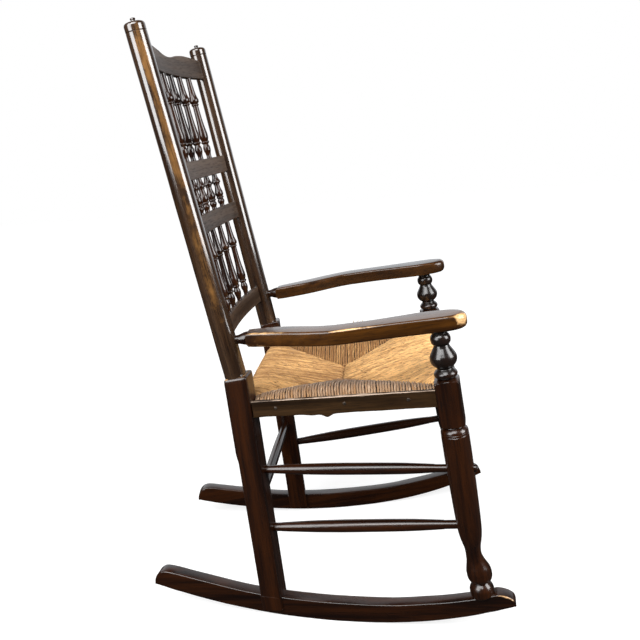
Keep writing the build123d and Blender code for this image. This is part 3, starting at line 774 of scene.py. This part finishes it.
def drop_sole(piece):
    """Ends the foot on the rocker's top, which it sits over."""
    for vertex in piece.data.vertices:
        x, y, z = to_bench(vertex.co)
        floor = float(rocker_top(y)) - 0.6
        if z < floor:
            vertex.co = to_part(vec(x, y, floor)).tolist()
    piece.data.update()


def front_legs():
    outline = front_leg_outline()
    for side, sign in SIDES:
        def worn(p):
            rubs = spots(p, sign, ((216, -222, 300), (9, 14, 90), 0.16),
                         ((218, -230, 240), (6, 6, 60), 0.2))
            return rubs - 0.45 * np.clip((p[:, 2] - 470) / 6, 0, 1)

        piece = turned(
            "turned_leg_" + side, flip_line(FRONT_LEG, sign), outline, DARK,
            ("front_leg_" + side,), turn=PLAN_TURN * sign, centre=CLUB_CENTRE,
            square=LEG_BLOCK, wear=0.02, wear_at=worn, uneven=0.1, sharp=34, bead_wear=0.22,
        )
        drop_sole(piece)


# ---- Arms ----
ARM_OUTER = ((-136, 196), (-74, 217), (-17, 240), (36, 252.5), (120, 251.5), (190, 252.5),
             (218, 252.8))
ARM_INNER = ((-136, 163.5), (-74, 175), (36, 210.5), (86, 210), (140, 204.5), (190, 199),
             (216, 201.5))
ARM_TIP_X = 229.5


def arm_curves():
    """The arm's inner and outer edges in plan, which meet at the middle of the hand rest."""
    t = np.linspace(0, 1, 70)
    a = np.linspace(0, math.pi / 2, 20)[1:]
    edges = []
    for points, reach, power in ((ARM_INNER, 36, 0.8), (ARM_OUTER, 34, 0.85)):
        line = flow(points, 5) * (-1, 1)
        end, end_x = -points[-1][0], points[-1][1]
        tip_x = ARM_TIP_X + (end_x - ARM_TIP_X) * np.cos(a) ** power
        line = resample(line, np.linspace(0, 1, len(line)), t)
        edges.append(np.concatenate([line, columns(end - reach * np.sin(a), tip_x)]))
    return edges


def arms():
    inner, outer = arm_curves()
    ease = np.interp(outer[:, 0], [-252, -238, -215, -170], [2.25, 1.9, 1.25, 1.0])
    middle = ARM_LOW + ARM_THICK / 2
    neck = profile(
        [(-14, 9.0), (-12.5, 11.4), (-10, 12.4)],
        [(-4, 11.6), (3, 9.6), (7, 8.4), (12, 8.0), (20, 8.0)],
    )
    for side, sign in SIDES:
        def place(q):
            thin = np.interp(q[:, 0], [124, 132, 136], [0.0, 0.7, 3.2])
            z = np.where(q[:, 2] > 13, q[:, 2] - thin, q[:, 2] + thin)
            if sign > 0:
                z = z + np.interp(q[:, 0], [-252, -40, 120], [3.0, 1.8, 0.0])
            return flip(columns(q[:, 1], q[:, 0], ARM_LOW + z), sign)

        def worn(p):
            # the far arm (x above nought) is held 0.3 lower, which darkens it towards black:
            # painted shade
            return (-0.3 if sign > 0 else 0.0) + spots(
                p, sign,
                ((248, -244, 575), (15, 14, 9), 1.05),  # the tip
                ((252, -160, 583.5), (2.6, 70, 2.4), 0.3),  # the outer ridge
                ((251, -45, 583.5), (3, 48, 2.8), 0.46),
                ((205, 112, 568), (26, 34, 14), 0.42),  # the flank by the post
                ((247, -12, 573), (10, 60, 9), 0.42),  # the outer side
                ((205, 80, 584.5), (30, 70, 4), 0.3),  # a painted sheen on the top behind the elbow
            )

        board(
            "flat_arm_" + side, inner, outer, ARM_THICK, place, ARM_WOOD, ("arm_" + side,),
            edge=(4.2, 4.2), edge_wear=0.24, wear_at=worn, crown=0.5, across=12,
            rough_edge=0.25, sharp=60, ease=ease,
        )
        post = on_line(POST, middle)
        line = flip_line(((180.5, 143.5, middle), (post[0] - 1, post[1], middle)), sign)
        turned("arm_neck_" + side, line, neck, DARK, around=32)


# ---- The back ----
BACK_LEAN = (POST[1][1] - POST[0][1]) / (POST[1][2] - POST[0][2])
BACK_STRETCH = math.hypot(1, BACK_LEAN)


def half_span(z):
    return on_line(POST, z)[0]


BOW_R = (half_span(800.0) ** 2 + RAIL_BOW ** 2) / (2 * RAIL_BOW)


def bow(x):
    return RAIL_BOW - BOW_R + np.sqrt(BOW_R ** 2 - np.asarray(x, float) ** 2)


def back_point(x, off, z, up=0.0):
    """A point of the leaning back: off is how far behind the posts' line it stands."""
    high = z + up / BACK_STRETCH
    y = POST[0][1] + (high - POST[0][2]) * BACK_LEAN
    c, s = 1 / BACK_STRETCH, BACK_LEAN / BACK_STRETCH
    return columns(x, y + off * c, high - off * s)


def cross_rail(name, node, z, x, height):
    """A bent board between the posts; its top edge is at `height` over z at each x."""
    def place(q):
        off = bow(q[:, 0]) + RAIL_THICK / 2 - q[:, 2]
        return back_point(q[:, 0], off, z, q[:, 1])

    board(
        name, columns(x, 0.0), columns(x, height), RAIL_THICK, place, RAIL_WOOD, (node,),
        edge=(1.6, 1.6), edge_wear=0.2, wear=0.02, across=6, rough_edge=0.15,
    )


def cross_rails():
    for name, node, z in (
        ("bent_rail_upper", "upper_cross_rail", UPPER_RAIL_Z),
        ("bent_rail_middle", "middle_cross_rail", MIDDLE_RAIL_Z),
        ("bent_rail_bottom", "bottom_cross_rail", BOTTOM_RAIL_Z + 1.5),
    ):
        reach = half_span(z) - 14
        cross_rail(name, node, z, np.linspace(-reach, reach, 45), RAIL_DEPTH)
    reach = half_span(CREST_Z) - 13
    humps = [(0, 34), (22, 35.2), (55, 40), (100, 43), (150, 40.5), (reach, 36.5)]
    humps = [(-x, height) for x, height in humps[:0:-1]] + humps
    x = np.linspace(-reach, reach, 61)
    cross_rail("bent_crest", "crest_rail", CREST_Z, x, np.interp(x, *flow(humps, 3).T))


def tall_outline(length):
    """Foot, cup, vase, bead and ball of a tall spindle, from below."""
    top = length - 51
    return profile(
        [(-3, 5.0), (1.5, 5.3), (5, 5.0), (10, 5.6), (17, 7.4), (21.5, 7.5), (26, 6.2),
         (28.5, 5.3)],
        [(30, 6.4), (32.4, 8.4), (34, 8.3), (35.4, 6.6)],
        [(38, 7.8), (43, 9.0), (48, 9.2), (56, 8.3), (70, 6.9), (86, 6.1), (top - 7, 5.8),
         (top - 4.6, 5.9)],
        [(top - 3.6, 7.2), (top - 2, 7.7), (top - 0.6, 7.0), (top, 6.1)],
        [(top + 1.4, 8.2), (top + 4, 9.6), (top + 7, 9.8), (top + 10, 9.0), (top + 15, 7.6),
         (top + 25, 6.4), (top + 39, 5.6), (top + 47, 5.3), (top + 54, 5.2)],
        step=1.3,
    )


def short_outline(length):
    """Foot, cup, vase, bead and ball of a short spindle, from below."""
    return profile(
        [(-3, 5.0), (1.5, 5.3), (4, 5.0), (8, 6.6), (11, 7.4), (14, 6.6), (16, 5.4)],
        [(17.2, 7.2), (18.6, 7.9), (20, 7.4), (21, 6.4)],
        [(23, 7.9), (26.5, 8.8), (30, 8.6), (35, 7.2), (41, 5.9), (45.6, 5.6)],
        [(46.4, 6.8), (47.4, 7.0), (48.4, 6.2)],
        [(49.4, 8.4), (51.2, 9.4), (53.4, 9.0), (57, 7.3), (62, 5.9), (length - 2, 5.4),
         (length + 3, 5.2)],
        step=1.3,
    )


def spindles():
    rail_up = RAIL_DEPTH / BACK_STRETCH
    for row, low_rail, z_high, outline in (
        ("upper", UPPER_RAIL_Z, CREST_Z, tall_outline),
        ("middle", MIDDLE_RAIL_Z, UPPER_RAIL_Z, short_outline),
        ("lower", BOTTOM_RAIL_Z, MIDDLE_RAIL_Z, tall_outline),
    ):
        z_low = low_rail + rail_up
        length = (z_high - z_low) * BACK_STRETCH
        for index in range(SPINDLES):
            x = (index - SPINDLES // 2) * SPINDLE_PITCH
            line = (back_point(x, bow(x), z_low), back_point(x, bow(x), z_high))
            turned(
                "%s_turning_%d" % (row, index + 1), line, outline(length), DARK,
                ("%s_spindle_%d" % (row, index + 1),), around=28, wear=0.10, uneven=0.1,
            )


# ---- Stretchers ----
def bar_outline(length, end_r, middle_r, through=0.0):
    """A plain bar that swells to its middle; `through` is how far its end passes a leg's
    near face."""
    third, most = mix(end_r, middle_r, 0.45), mix(end_r, middle_r, 0.86)
    last = [(length - 24, end_r), (length + 6, end_r - 0.1)]
    if through:
        last = [(length - 24, end_r), (length + through - 1.2, end_r - 0.2),
                (length + through, end_r - 1.6)]
    return profile(
        [(-6, end_r - 0.1), (0, end_r), (18, end_r + 0.1)],
        [(18, end_r + 0.4), (length * 0.14, third), (length * 0.27, most),
         (length * 0.42, middle_r), (length * 0.58, middle_r), (length * 0.73, most),
         (length * 0.86, third), (length - 24, end_r + 0.4)],
        last, step=4,
    )


def show_outline(half):
    """The front stretcher: bead and bulb either side of a ring."""
    left = profile(
        [(-6, 8.0), (6, 8.1), (20, 9.2), (half * 0.24, 11.2)],
        [(half * 0.25, 12.6), (half * 0.265, 12.4), (half * 0.28, 10.0)],
        [(half * 0.36, 12.0), (half * 0.5, 17.6), (half * 0.64, 20.3), (half * 0.74, 20.1),
         (half * 0.86, 16.6), (half - 14, 12.4)],
        [(half - 12.6, 15.4), (half - 10.6, 16.0), (half - 9.2, 14.0)],
        [(half - 7, 17.4), (half - 3, 20.2), (half, 20.5)],
        step=2,
    )
    return np.concatenate([left, (left * (-1, 1) + (2 * half, 0))[::-1]])


def stretchers():
    rows = (  # row, back and front height, inset at the back, end and middle radius, how far
              # through the front leg, wear, and the y, height and length of its rubbed place
        ("lower", 191.0, 191.0, 0.0, 8.0, 11.7, 0.0, 0.10, 20, 203, 90),
        ("upper", 312.5, 303.0, 1.5, 7.3, 11.0, 49.0, 0.08, -20, 318, 110),
    )
    for side, sign in SIDES:
        for row, back_z, front_z, inset, end_r, middle_r, through, wear, y, z, rub in rows:
            back = on_line(BACK_LEG, back_z) - vec(inset, LEG_HALF, 0)
            front = on_line(FRONT_LEG, front_z) + vec(-2.5, 20, 0)
            line = (flip(back, sign), flip(front, sign))
            turned(
                "%s_bar_%s" % (row, side), line,
                bar_outline(math.dist(*line), end_r, middle_r, through), DARK,
                ("%s_side_stretcher_%s" % (row, side),), around=32, wear=wear,
                wear_at=lambda p: spots(p, sign, ((222, y, z), (14, rub, 6), 0.2)),
            )
    x, y, z = on_line(BACK_LEG, 248.0) - vec(LEG_HALF, 1.5, 0)
    turned(
        "back_bar", ((-x, y, z), (x, y, z)), bar_outline(2 * x, 8.0, 10.4), DARK,
        ("back_stretcher",), around=32, wear=0.1,
    )
    x, y, z = on_line(FRONT_LEG, 250.0) - vec(22, 0, 0)
    turned(
        "show_bar", ((-x, y, z), (x, y, z)), show_outline(x), DARK, ("front_stretcher",),
        around=40, wear=0.08,
    )


# ---- Seat strips and nails ----
def strip_x(y):
    """Distance of a side strip's outer face from the chair's middle plane."""
    return STRIP_OUTER + STRIP_SLOPE * y


def edge_strip(side, run, low, wave, place, wear_at=None):
    """A strip with its lower edge at `low` and its upper one a little wavy."""
    high = STRIP_HEIGHT - 0.5 * np.abs(wave)
    board(
        "edge_strip_" + side, columns(run, low), columns(run, high), STRIP_THICK, place,
        STRIP_WOOD, ("seat_strip_" + side,), edge=(1.2, 1.6), edge_wear=0.28, wear=0.10,
        wear_at=wear_at, across=5, rough_edge=0.3,
    )


def edge_strips():
    y_front, y_back = -187.0, 146.5
    along = vec(STRIP_SLOPE, 1) / STRIP_SLANT
    for side, sign in SIDES:
        run = np.linspace(0, (y_back - y_front) * STRIP_SLANT, 90)
        wave = ripple(seed_of("strip" + side), 90, 15, 9)
        y_at = y_back - run / STRIP_SLANT
        # the broken lump under the strip, and the shallow swelling beside it
        lump = 6.8 * np.exp(-((y_at - 8) / 9.0) ** 2) + 2.4 * np.exp(-((y_at - 34) / 15.0) ** 2)
        low = -0.8 + 0.7 * wave - lump + 0.4 * np.sin(run / 40)

        def place(q):
            y = y_back - q[:, 0] / STRIP_SLANT
            off = STRIP_THICK - q[:, 2]
            x = strip_x(y) - along[1] * off
            return flip(columns(x, y + along[0] * off, STRIP_LOW + q[:, 1]), sign)

        def worn(p):
            top_edge = np.clip((p[:, 2] - 455.0) / 2.5, 0, 1) * 0.34
            return top_edge + spots(p, sign, ((228, -60, 455), (9, 130, 6), 0.12))

        edge_strip(side, run, low, wave, place, worn)
    wave = ripple(seed_of("edge_strip_front"), 60, 15, 9)

    def place_front(q):
        return columns(q[:, 0], FRONT_STRIP_Y + STRIP_THICK - q[:, 2], STRIP_LOW + q[:, 1])

    edge_strip("front", np.linspace(-213.5, 213.5, 60), 0.5 + 0.5 * wave, wave, place_front)


def nails():
    """Small domed nail heads through the strips into the seat rails."""
    heap = Heap()
    rings = ((3.1, -0.8), (3.2, 0.1), (2.7, 0.5), (1.6, 0.75), (0.2, 0.8))
    angles = 2 * math.pi * np.arange(12) / 12
    up = vec(0, 0, 1)

    def dome(centre, out):
        across = np.cross(out, up)
        spokes = np.outer(np.cos(angles), across) + np.outer(np.sin(angles), up)
        points = np.concatenate([centre + out * high + r * spokes for r, high in rings])
        heap.add(points, points, 0.0, len(angles))

    for sign in (-1, 1):
        out = vec(sign, -STRIP_SLOPE, 0) / STRIP_SLANT
        for y, z in ((101, 443), (-26, 444), (-138, 444)):
            dome(vec(sign * strip_x(y), y, z), out)
    for x in (-150, -52, 52, 150):
        dome(vec(x, FRONT_STRIP_Y, 445), vec(0, -1, 0))
    heap.piece("strip_nails", IRON, "dark_wood", (), 60)


# ---- Rush ----
FRONT_CORNER = vec(214.0, -186.0)
BACK_CORNER = vec(164.0, 143.0)
BACK_EDGE = 174.0
FRONT_EDGE = -220.0
APEX = vec(38.0, -8.0)  # where the four mitres come together, at either side
RUSH_LOW = 424.2
VALLEY = (453.0, 420.5)  # height of the mitre at a corner and at the middle
CRESTS = {"front": (460.0, 466.0), "back": (450.5, 459.5), "side": (451.5, 468.0)}
LOW_SAG = 20.0
STRAND_R = 2.6
STRAND_PITCH = 4.8
OVAL_ACROSS = 14.8


def sink(v):
    return np.maximum(v, 0.0) ** 0.78


def fall(u):
    """The run of a strand from the rail, level at first, down to its mitre."""
    return u ** 1.15


def crest(section, reach):
    """Height over the rail: the padding lifts it from the corner to the rail's middle."""
    low, high = CRESTS[section]
    return mix(low, high, np.sin(math.pi / 2 * np.clip(reach, 0, 1) ** 0.7))


def top_height(section, reach, u):
    valley = mix(VALLEY[0], VALLEY[1], sink(reach))
    return mix(crest(section, reach), valley, fall(u))


def side_x(y):
    """Where the side rails' strands start to fall, between the two corners."""
    (front_x, front_y), (back_x, back_y) = FRONT_CORNER, BACK_CORNER
    return np.interp(y, (front_y, back_y), (front_x, back_x))


def strand_path(section, inner, meet, reach, rng):
    """One strand in its own upright plane, as (inward distance, height): in from the mitre
    over the rail, round it and back underneath. `inner` is where the surface starts to fall
    and `meet` where the strand dives into the mitre."""
    top_z = crest(section, reach)
    a, b = OVAL_ACROSS, (top_z - RUSH_LOW) / 2
    middle = (top_z + RUSH_LOW) / 2
    rail = STRAND_R + a
    count = max(4, int((meet - inner) / 6.5))
    u = np.linspace(1, 0, count)
    run = mix(inner, meet, u)
    slack = rng.normal(0, 0.35)
    top = top_height(section, reach, u) + slack * np.sin(math.pi * u)
    length = max(meet - inner, 5.0)
    top = top - 3.6 * np.clip((u - (1 - 5.0 / length)) * length / 5.0, 0, 1) ** 2
    parts = [columns(run, top)]
    if inner - 6 > rail:
        parts.append(np.array([(inner - 6, top_z + 0.2)]))
    angle = np.radians(np.linspace(90, 270, 13))
    parts.append(columns(rail + a * np.cos(angle), middle + b * np.sin(angle)))
    v = np.linspace(0, 1, max(3, int((meet - rail) / 14)))[1:]
    run = mix(rail, meet, v)
    sag = fall(np.clip((run - inner) / max(meet - inner, 1), 0, 1))
    low = RUSH_LOW - LOW_SAG * sink(reach) * sag + 3.0 * (v > 0.999)
    parts.append(columns(run, low))
    return np.concatenate(parts)


def add_strand(heap, points, side_dir, rng, dirt_and_shade, thin=1.0):
    """A twisted two-blade cord along a path."""
    around = 8
    points = np.array(points)
    gaps = np.linalg.norm(np.diff(points, axis=0), axis=1)
    length = np.concatenate([[0], np.cumsum(gaps)])
    phase, pitch = rng.uniform(0, 6.28), rng.uniform(20, 27)
    wobble = 0.45 * np.sin(length / rng.uniform(24, 40) + phase)
    wobble = wobble + rng.normal(0, 0.12, len(points))
    points = points + wobble[:, None] * side_dir
    tangent = unit(np.gradient(points, axis=0))
    normal = unit(np.cross(tangent, side_dir))
    radius = STRAND_R * thin * rng.uniform(0.9, 1.08)
    angles = np.linspace(0, 2 * math.pi, around, endpoint=False)
    twist = (2 * math.pi * length / pitch + phase)[:, None]
    r = radius * (1 + 0.13 * np.cos(2 * (angles - twist)))
    out = np.cos(angles)[None, :, None] * side_dir
    out = out + np.sin(angles)[None, :, None] * normal[:, None, :]
    ring = points[:, None, :] + r[..., None] * out
    across = float(points[0] @ side_dir)
    shift = vec(across * 3.2, rng.uniform(-2, 2), 700 * side_dir[1] + rng.uniform(-15, 15))
    angles = angles - 0.6 * twist
    grain = columns(r * np.cos(angles), r * np.sin(angles), length[:, None]) + shift
    wear = np.repeat(dirt_and_shade(points) + rng.normal(0, 0.07), around)
    heap.add(ring.reshape(-1, 3), grain.reshape(-1, 3), wear, around)


def dirt_and_shade_at(section):
    """Dirt and painted light on the rush: the back section darker than the front and the side
    sections darker still, as painted shade; grey where the near side's strands roll over
    their rail, and the far side held brown.
    """
    def dirt_and_shade(p):
        if section == "front":
            return np.full(len(p), 0.02)
        if section == "back":
            # the back section darker than the front, its far half a little more: painted shade
            return 0.23 + 0.05 * np.clip(p[:, 0] / 60.0, 0, 1)
        # the side sections darker than the front as painted shade, greyest near where the strands
        # roll over the rail
        edge = strip_x(p[:, 1]) - STRIP_THICK - np.abs(p[:, 0])
        side = np.interp(edge, [0, 20, 60, 110], [0.62, 0.95, 0.85, 0.42])
        # the far side held at the tan, without the near side's grey: painted shade
        return np.where(p[:, 0] > 0, np.minimum(side, 0.48), side)
    return dirt_and_shade


def rush():
    heap = Heap()
    rng = np.random.default_rng(41)
    # the front and back rails' strands run front to back
    for section, corner, edge_y, inward in (
        ("front", FRONT_CORNER, FRONT_EDGE, 1.0), ("back", BACK_CORNER, BACK_EDGE, -1.0)
    ):
        count = int(2 * corner[0] / STRAND_PITCH)
        for x in np.linspace(-corner[0] + 2.5, corner[0] - 2.5, count):
            reach = min(1.0, (corner[0] - abs(x)) / (corner[0] - APEX[0]))
            inner = abs(corner[1] - edge_y)
            meet = max(abs(mix(corner[1], APEX[1], reach) - edge_y), inner + 3)
            path = strand_path(section, inner, meet, reach, rng)
            points = [(x, edge_y + inward * d, z) for d, z in path]
            add_strand(heap, points, vec(1, 0, 0), rng, dirt_and_shade_at(section))
    # the side rails' strands run across
    count = int((BACK_CORNER[1] - FRONT_CORNER[1]) / STRAND_PITCH / 1.04)
    for sign in (-1.0, 1.0):
        for y in np.linspace(FRONT_CORNER[1] + 2.5, BACK_CORNER[1] - 2.5, count):
            corner = FRONT_CORNER if y < APEX[1] else BACK_CORNER
            reach = (y - corner[1]) / (APEX[1] - corner[1])
            edge_x = strip_x(y) - STRIP_THICK
            inner = edge_x - side_x(y)
            meet = max(edge_x - mix(corner[0], APEX[0], reach), inner + 3)
            path = strand_path("side", inner, meet, reach, rng)
            points = [(sign * (edge_x - d), y, z) for d, z in path]
            add_strand(heap, points, vec(0, 1, 0), rng, dirt_and_shade_at("side"), 0.86)
    stray_blades(heap, rng)
    heap.piece("woven_rush", RUSH, "rush", ("rush_seat",), 0)


def surface_z(x, y):
    """Height of the woven top over a plan point, and its section."""
    edge = side_x(y)
    across = np.clip((edge - abs(x)) / (edge - APEX[0]), 0, 1)
    corner = FRONT_CORNER if y < APEX[1] else BACK_CORNER
    along = np.clip((y - corner[1]) / (APEX[1] - corner[1]), 0, 1)
    section, reach = "side", along
    if across > along:
        section = "front" if y < APEX[1] else "back"
        reach = min(1.0, max(0.0, (corner[0] - abs(x)) / (corner[0] - APEX[0])))
    u = min(across, along) / max(reach, 1e-6)
    return top_height(section, reach, min(u, 1.0)), section


def stray_blades(heap, rng):
    """Dry split blades that have lifted from the strands."""
    t = np.linspace(-0.5, 0.5, 5)
    for _ in range(420):
        y = rng.uniform(-195, 158)
        x = rng.uniform(-1, 1) * np.interp(y, [-220, 178], [240, 186])
        section = surface_z(x, y)[1]
        length = rng.uniform(12, 38)
        direction = vec(1, 0, 0) if section == "side" else vec(0, 1, 0)
        direction = unit(direction + vec(*rng.normal(0, 0.10, 2), 0))
        side = vec(-direction[1], direction[0], 0)
        points = vec(x, y, 0) + np.outer(t * length, direction)
        lift = STRAND_R + 0.35 + rng.uniform(0, 1.3) * (t + 0.5) ** 2
        points[:, 2] = np.array([surface_z(p[0], p[1])[0] for p in points]) + lift
        width = rng.uniform(0.3, 0.75)
        thick = vec(0, 0, 0.22)
        ring = []
        for p, w in zip(points, (0.3, 0.9, 1.0, 0.8, 0.2)):
            ring += [p + side * width * w, p + thick, p - side * width * w, p - thick]
        grain = np.array([(width * (k % 4), 0.0, t[k // 4] * length) for k in range(20)])
        grain = grain + rng.uniform(-400, 400, 3)
        heap.add(np.array(ring), grain, dirt_and_shade_at(section)(points).mean() * 0.5, 4)


def rush_core():
    """The stuffing seen in the gaps between the strands, coloured near black as painted shade."""
    side = 41  # points along each side of its grid
    top, low = [], []
    for j in range(side):
        y = mix(FRONT_EDGE + 4, BACK_EDGE - 4, j / (side - 1))
        edge = strip_x(y) - STRIP_THICK - 5
        if y < -184:
            edge = min(edge, 211.0)
        if y > 142:
            edge = min(edge, 161.0)
        for i in range(side):
            x = mix(-edge, edge, i / (side - 1))
            z = surface_z(x, y)[0] - 2.2
            near = min(edge - abs(x), y - FRONT_EDGE - 2, BACK_EDGE - 2 - y)
            round_off = 14 * max(0.0, 1 - near / 16.0) ** 2
            top.append((x, y, z - round_off))
            depth = min(0.0, z - VALLEY[0]) * LOW_SAG / (VALLEY[0] - VALLEY[1])
            low.append((x, y, RUSH_LOW + 3.0 + depth + round_off * 0.9))
    verts = np.array(top + low)
    total = side * side
    faces = []
    for j in range(side - 1):
        for i in range(side - 1):
            a = j * side + i
            faces.append((a, a + 1, a + 1 + side, a + side))
            faces.append((total + a, total + a + side, total + a + 1 + side, total + a + 1))
    rim = list(range(side)) + [j * side + side - 1 for j in range(1, side)]
    rim += [(side - 1) * side + i for i in range(side - 2, -1, -1)]
    rim += [j * side for j in range(side - 2, 0, -1)]
    for a, b in zip(rim, rim[1:] + rim[:1]):
        faces.append((b, a, a + total, b + total))
    wear = np.zeros(len(verts))
    add_piece("rush_stuffing", verts, faces, verts, wear, SHADED_STUFFING, (), 0)


def hidden_rails():
    """The round seat rails inside the rush, between the legs."""
    lines = []
    for side, sign in SIDES:
        inset = STRIP_THICK + OVAL_ACROSS + STRAND_R
        ends = [vec(strip_x(y) - inset, y, 437.8) for y in (150.0, -190.0)]
        lines.append((side, flip_line(ends, sign)))
    for side, reach, y, z in (("back", 170, BACK_EDGE - 17.4, 437.4),
                              ("front", 220, FRONT_EDGE + 17.4, 442.0)):
        lines.append((side, ((-reach, y, z), (reach, y, z))))
    for side, line in lines:
        length = math.dist(*line)
        outline = profile(
            [(0, 6.5), (8, 7.5)], [(14, 9.6), (length - 14, 9.6), (length - 8, 7.5)],
            [(length, 6.5)], step=6,
        )
        nodes = ("seat_rail_" + side,)
        turned("rush_rail_" + side, line, outline, HIDDEN_WOOD, nodes, around=20)


# ---- Camera, lights and floor ----
PHOTO_SIZE = 640  # pixels
FOCAL = 690  # pixels
SENSOR = 36  # millimetres
CAMERA_PLACE = (-1357.5, -157.7, 895.8)  # on the bench
CAMERA_TURN, CAMERA_DOWN = -84.816, 15.552  # degrees
PHOTO_LEAN = 4.6  # degrees that the photo's chair leans back more than the balanced one


def camera():
    data = bpy.data.cameras.new("camera")
    data.sensor_width = SENSOR
    data.lens = FOCAL / PHOTO_SIZE * SENSOR
    data.dof.use_dof = False
    data.clip_end = 50
    obj = put("camera", data)
    turn = (
        Matrix.Rotation(math.radians(PHOTO_LEAN), 4, "X")
        @ Matrix.Rotation(math.radians(CAMERA_TURN), 4, "Z")
        @ Matrix.Rotation(math.radians(90 - CAMERA_DOWN), 4, "X")
    )
    obj.matrix_world = Matrix.Translation(to_part(vec(*CAMERA_PLACE)).tolist()) @ turn
    bpy.context.scene.camera = obj


def area_light(name, place, target, size, power):
    data = bpy.data.lights.new(name, "AREA")
    data.shape = "RECTANGLE"
    data.size, data.size_y = size
    data.energy = power
    back = unit(vec(*place) - vec(*target))
    right = unit(np.cross(vec(0, 0, 1), back))
    axes = columns(right, np.cross(back, right), back, place)
    put(name, data).matrix_world = Matrix([*axes.tolist(), (0, 0, 0, 1)])


def studio_world():
    """White to the camera; a dim pale room to the object, with a bright wall at +X that only
    reflections see."""
    world = bpy.data.worlds.new("studio")
    bpy.context.scene.world = world
    n = Nodes(world)
    ray = n.add("LightPath").outputs
    axes = n.add("SeparateXYZ", {0: n.add("TexCoord").outputs["Generated"]})
    wall = n.times(n.step(axes.outputs[0], 0.55, 0.85), ray["Is Glossy Ray"])
    room = n.add("Background", {0: (0.93, 0.96, 1.0, 1), 1: n.plus(wall, 0.045)})
    white = n.add("Background", {0: (1, 1, 1, 1)})
    both = n.add("MixShader", {0: ray["Is Camera Ray"], 1: room.outputs[0], 2: white.outputs[0]})
    n.add("OutputWorld", {0: both.outputs[0]})


def floor():
    """A plain pale floor that goes white in the distance and keeps the chair's shadow."""
    mesh = bpy.data.meshes.new("floor")
    mesh.from_pydata([(-8, -8, 0), (8, -8, 0), (8, 8, 0), (-8, 8, 0)], [], [(0, 1, 2, 3)])
    material = bpy.data.materials.new("pale_floor")
    n = Nodes(material)
    ray = n.add("LightPath").outputs["Is Camera Ray"]
    diffuse = n.add("BsdfDiffuse", {"Color": n.grey(n.step(ray, 0.0, 1.0, 0.03, 0.4))})
    place = n.add("TexCoord").outputs["Object"]
    away = n.add("VectorMath", {0: place}, operation="LENGTH").outputs["Value"]
    white = n.times(ray, n.step(away, 0.5, 2.2, 0.78, 1.0))
    glow = n.add("Emission", {"Color": (1, 1, 1, 1), "Strength": white})
    both = n.add("AddShader", {0: diffuse.outputs[0], 1: glow.outputs[0]})
    n.add("OutputMaterial", {"Surface": both.outputs[0]})
    mesh.materials.append(material)
    put("floor", mesh)


def studio():
    bpy.context.scene.view_settings.view_transform = "Standard"
    studio_world()
    area_light("left_softbox", (-1.6, 1.5, 1.6), (-0.1, 0.15, 0.8), (1.4, 2.0), 68)
    area_light("right_softbox", (-0.75, -2.05, 1.55), (-0.1, 0, 0.65), (1.3, 1.6), 66)
    area_light("top_softbox", (-1.5, 0.2, 2.35), (0, 0, 0.5), (1.3, 1.3), 44)
    floor()


camera()
studio()
rockers()
back_posts()
front_legs()
arms()
cross_rails()
spindles()
stretchers()
edge_strips()
nails()
rush()
rush_core()
hidden_rails()
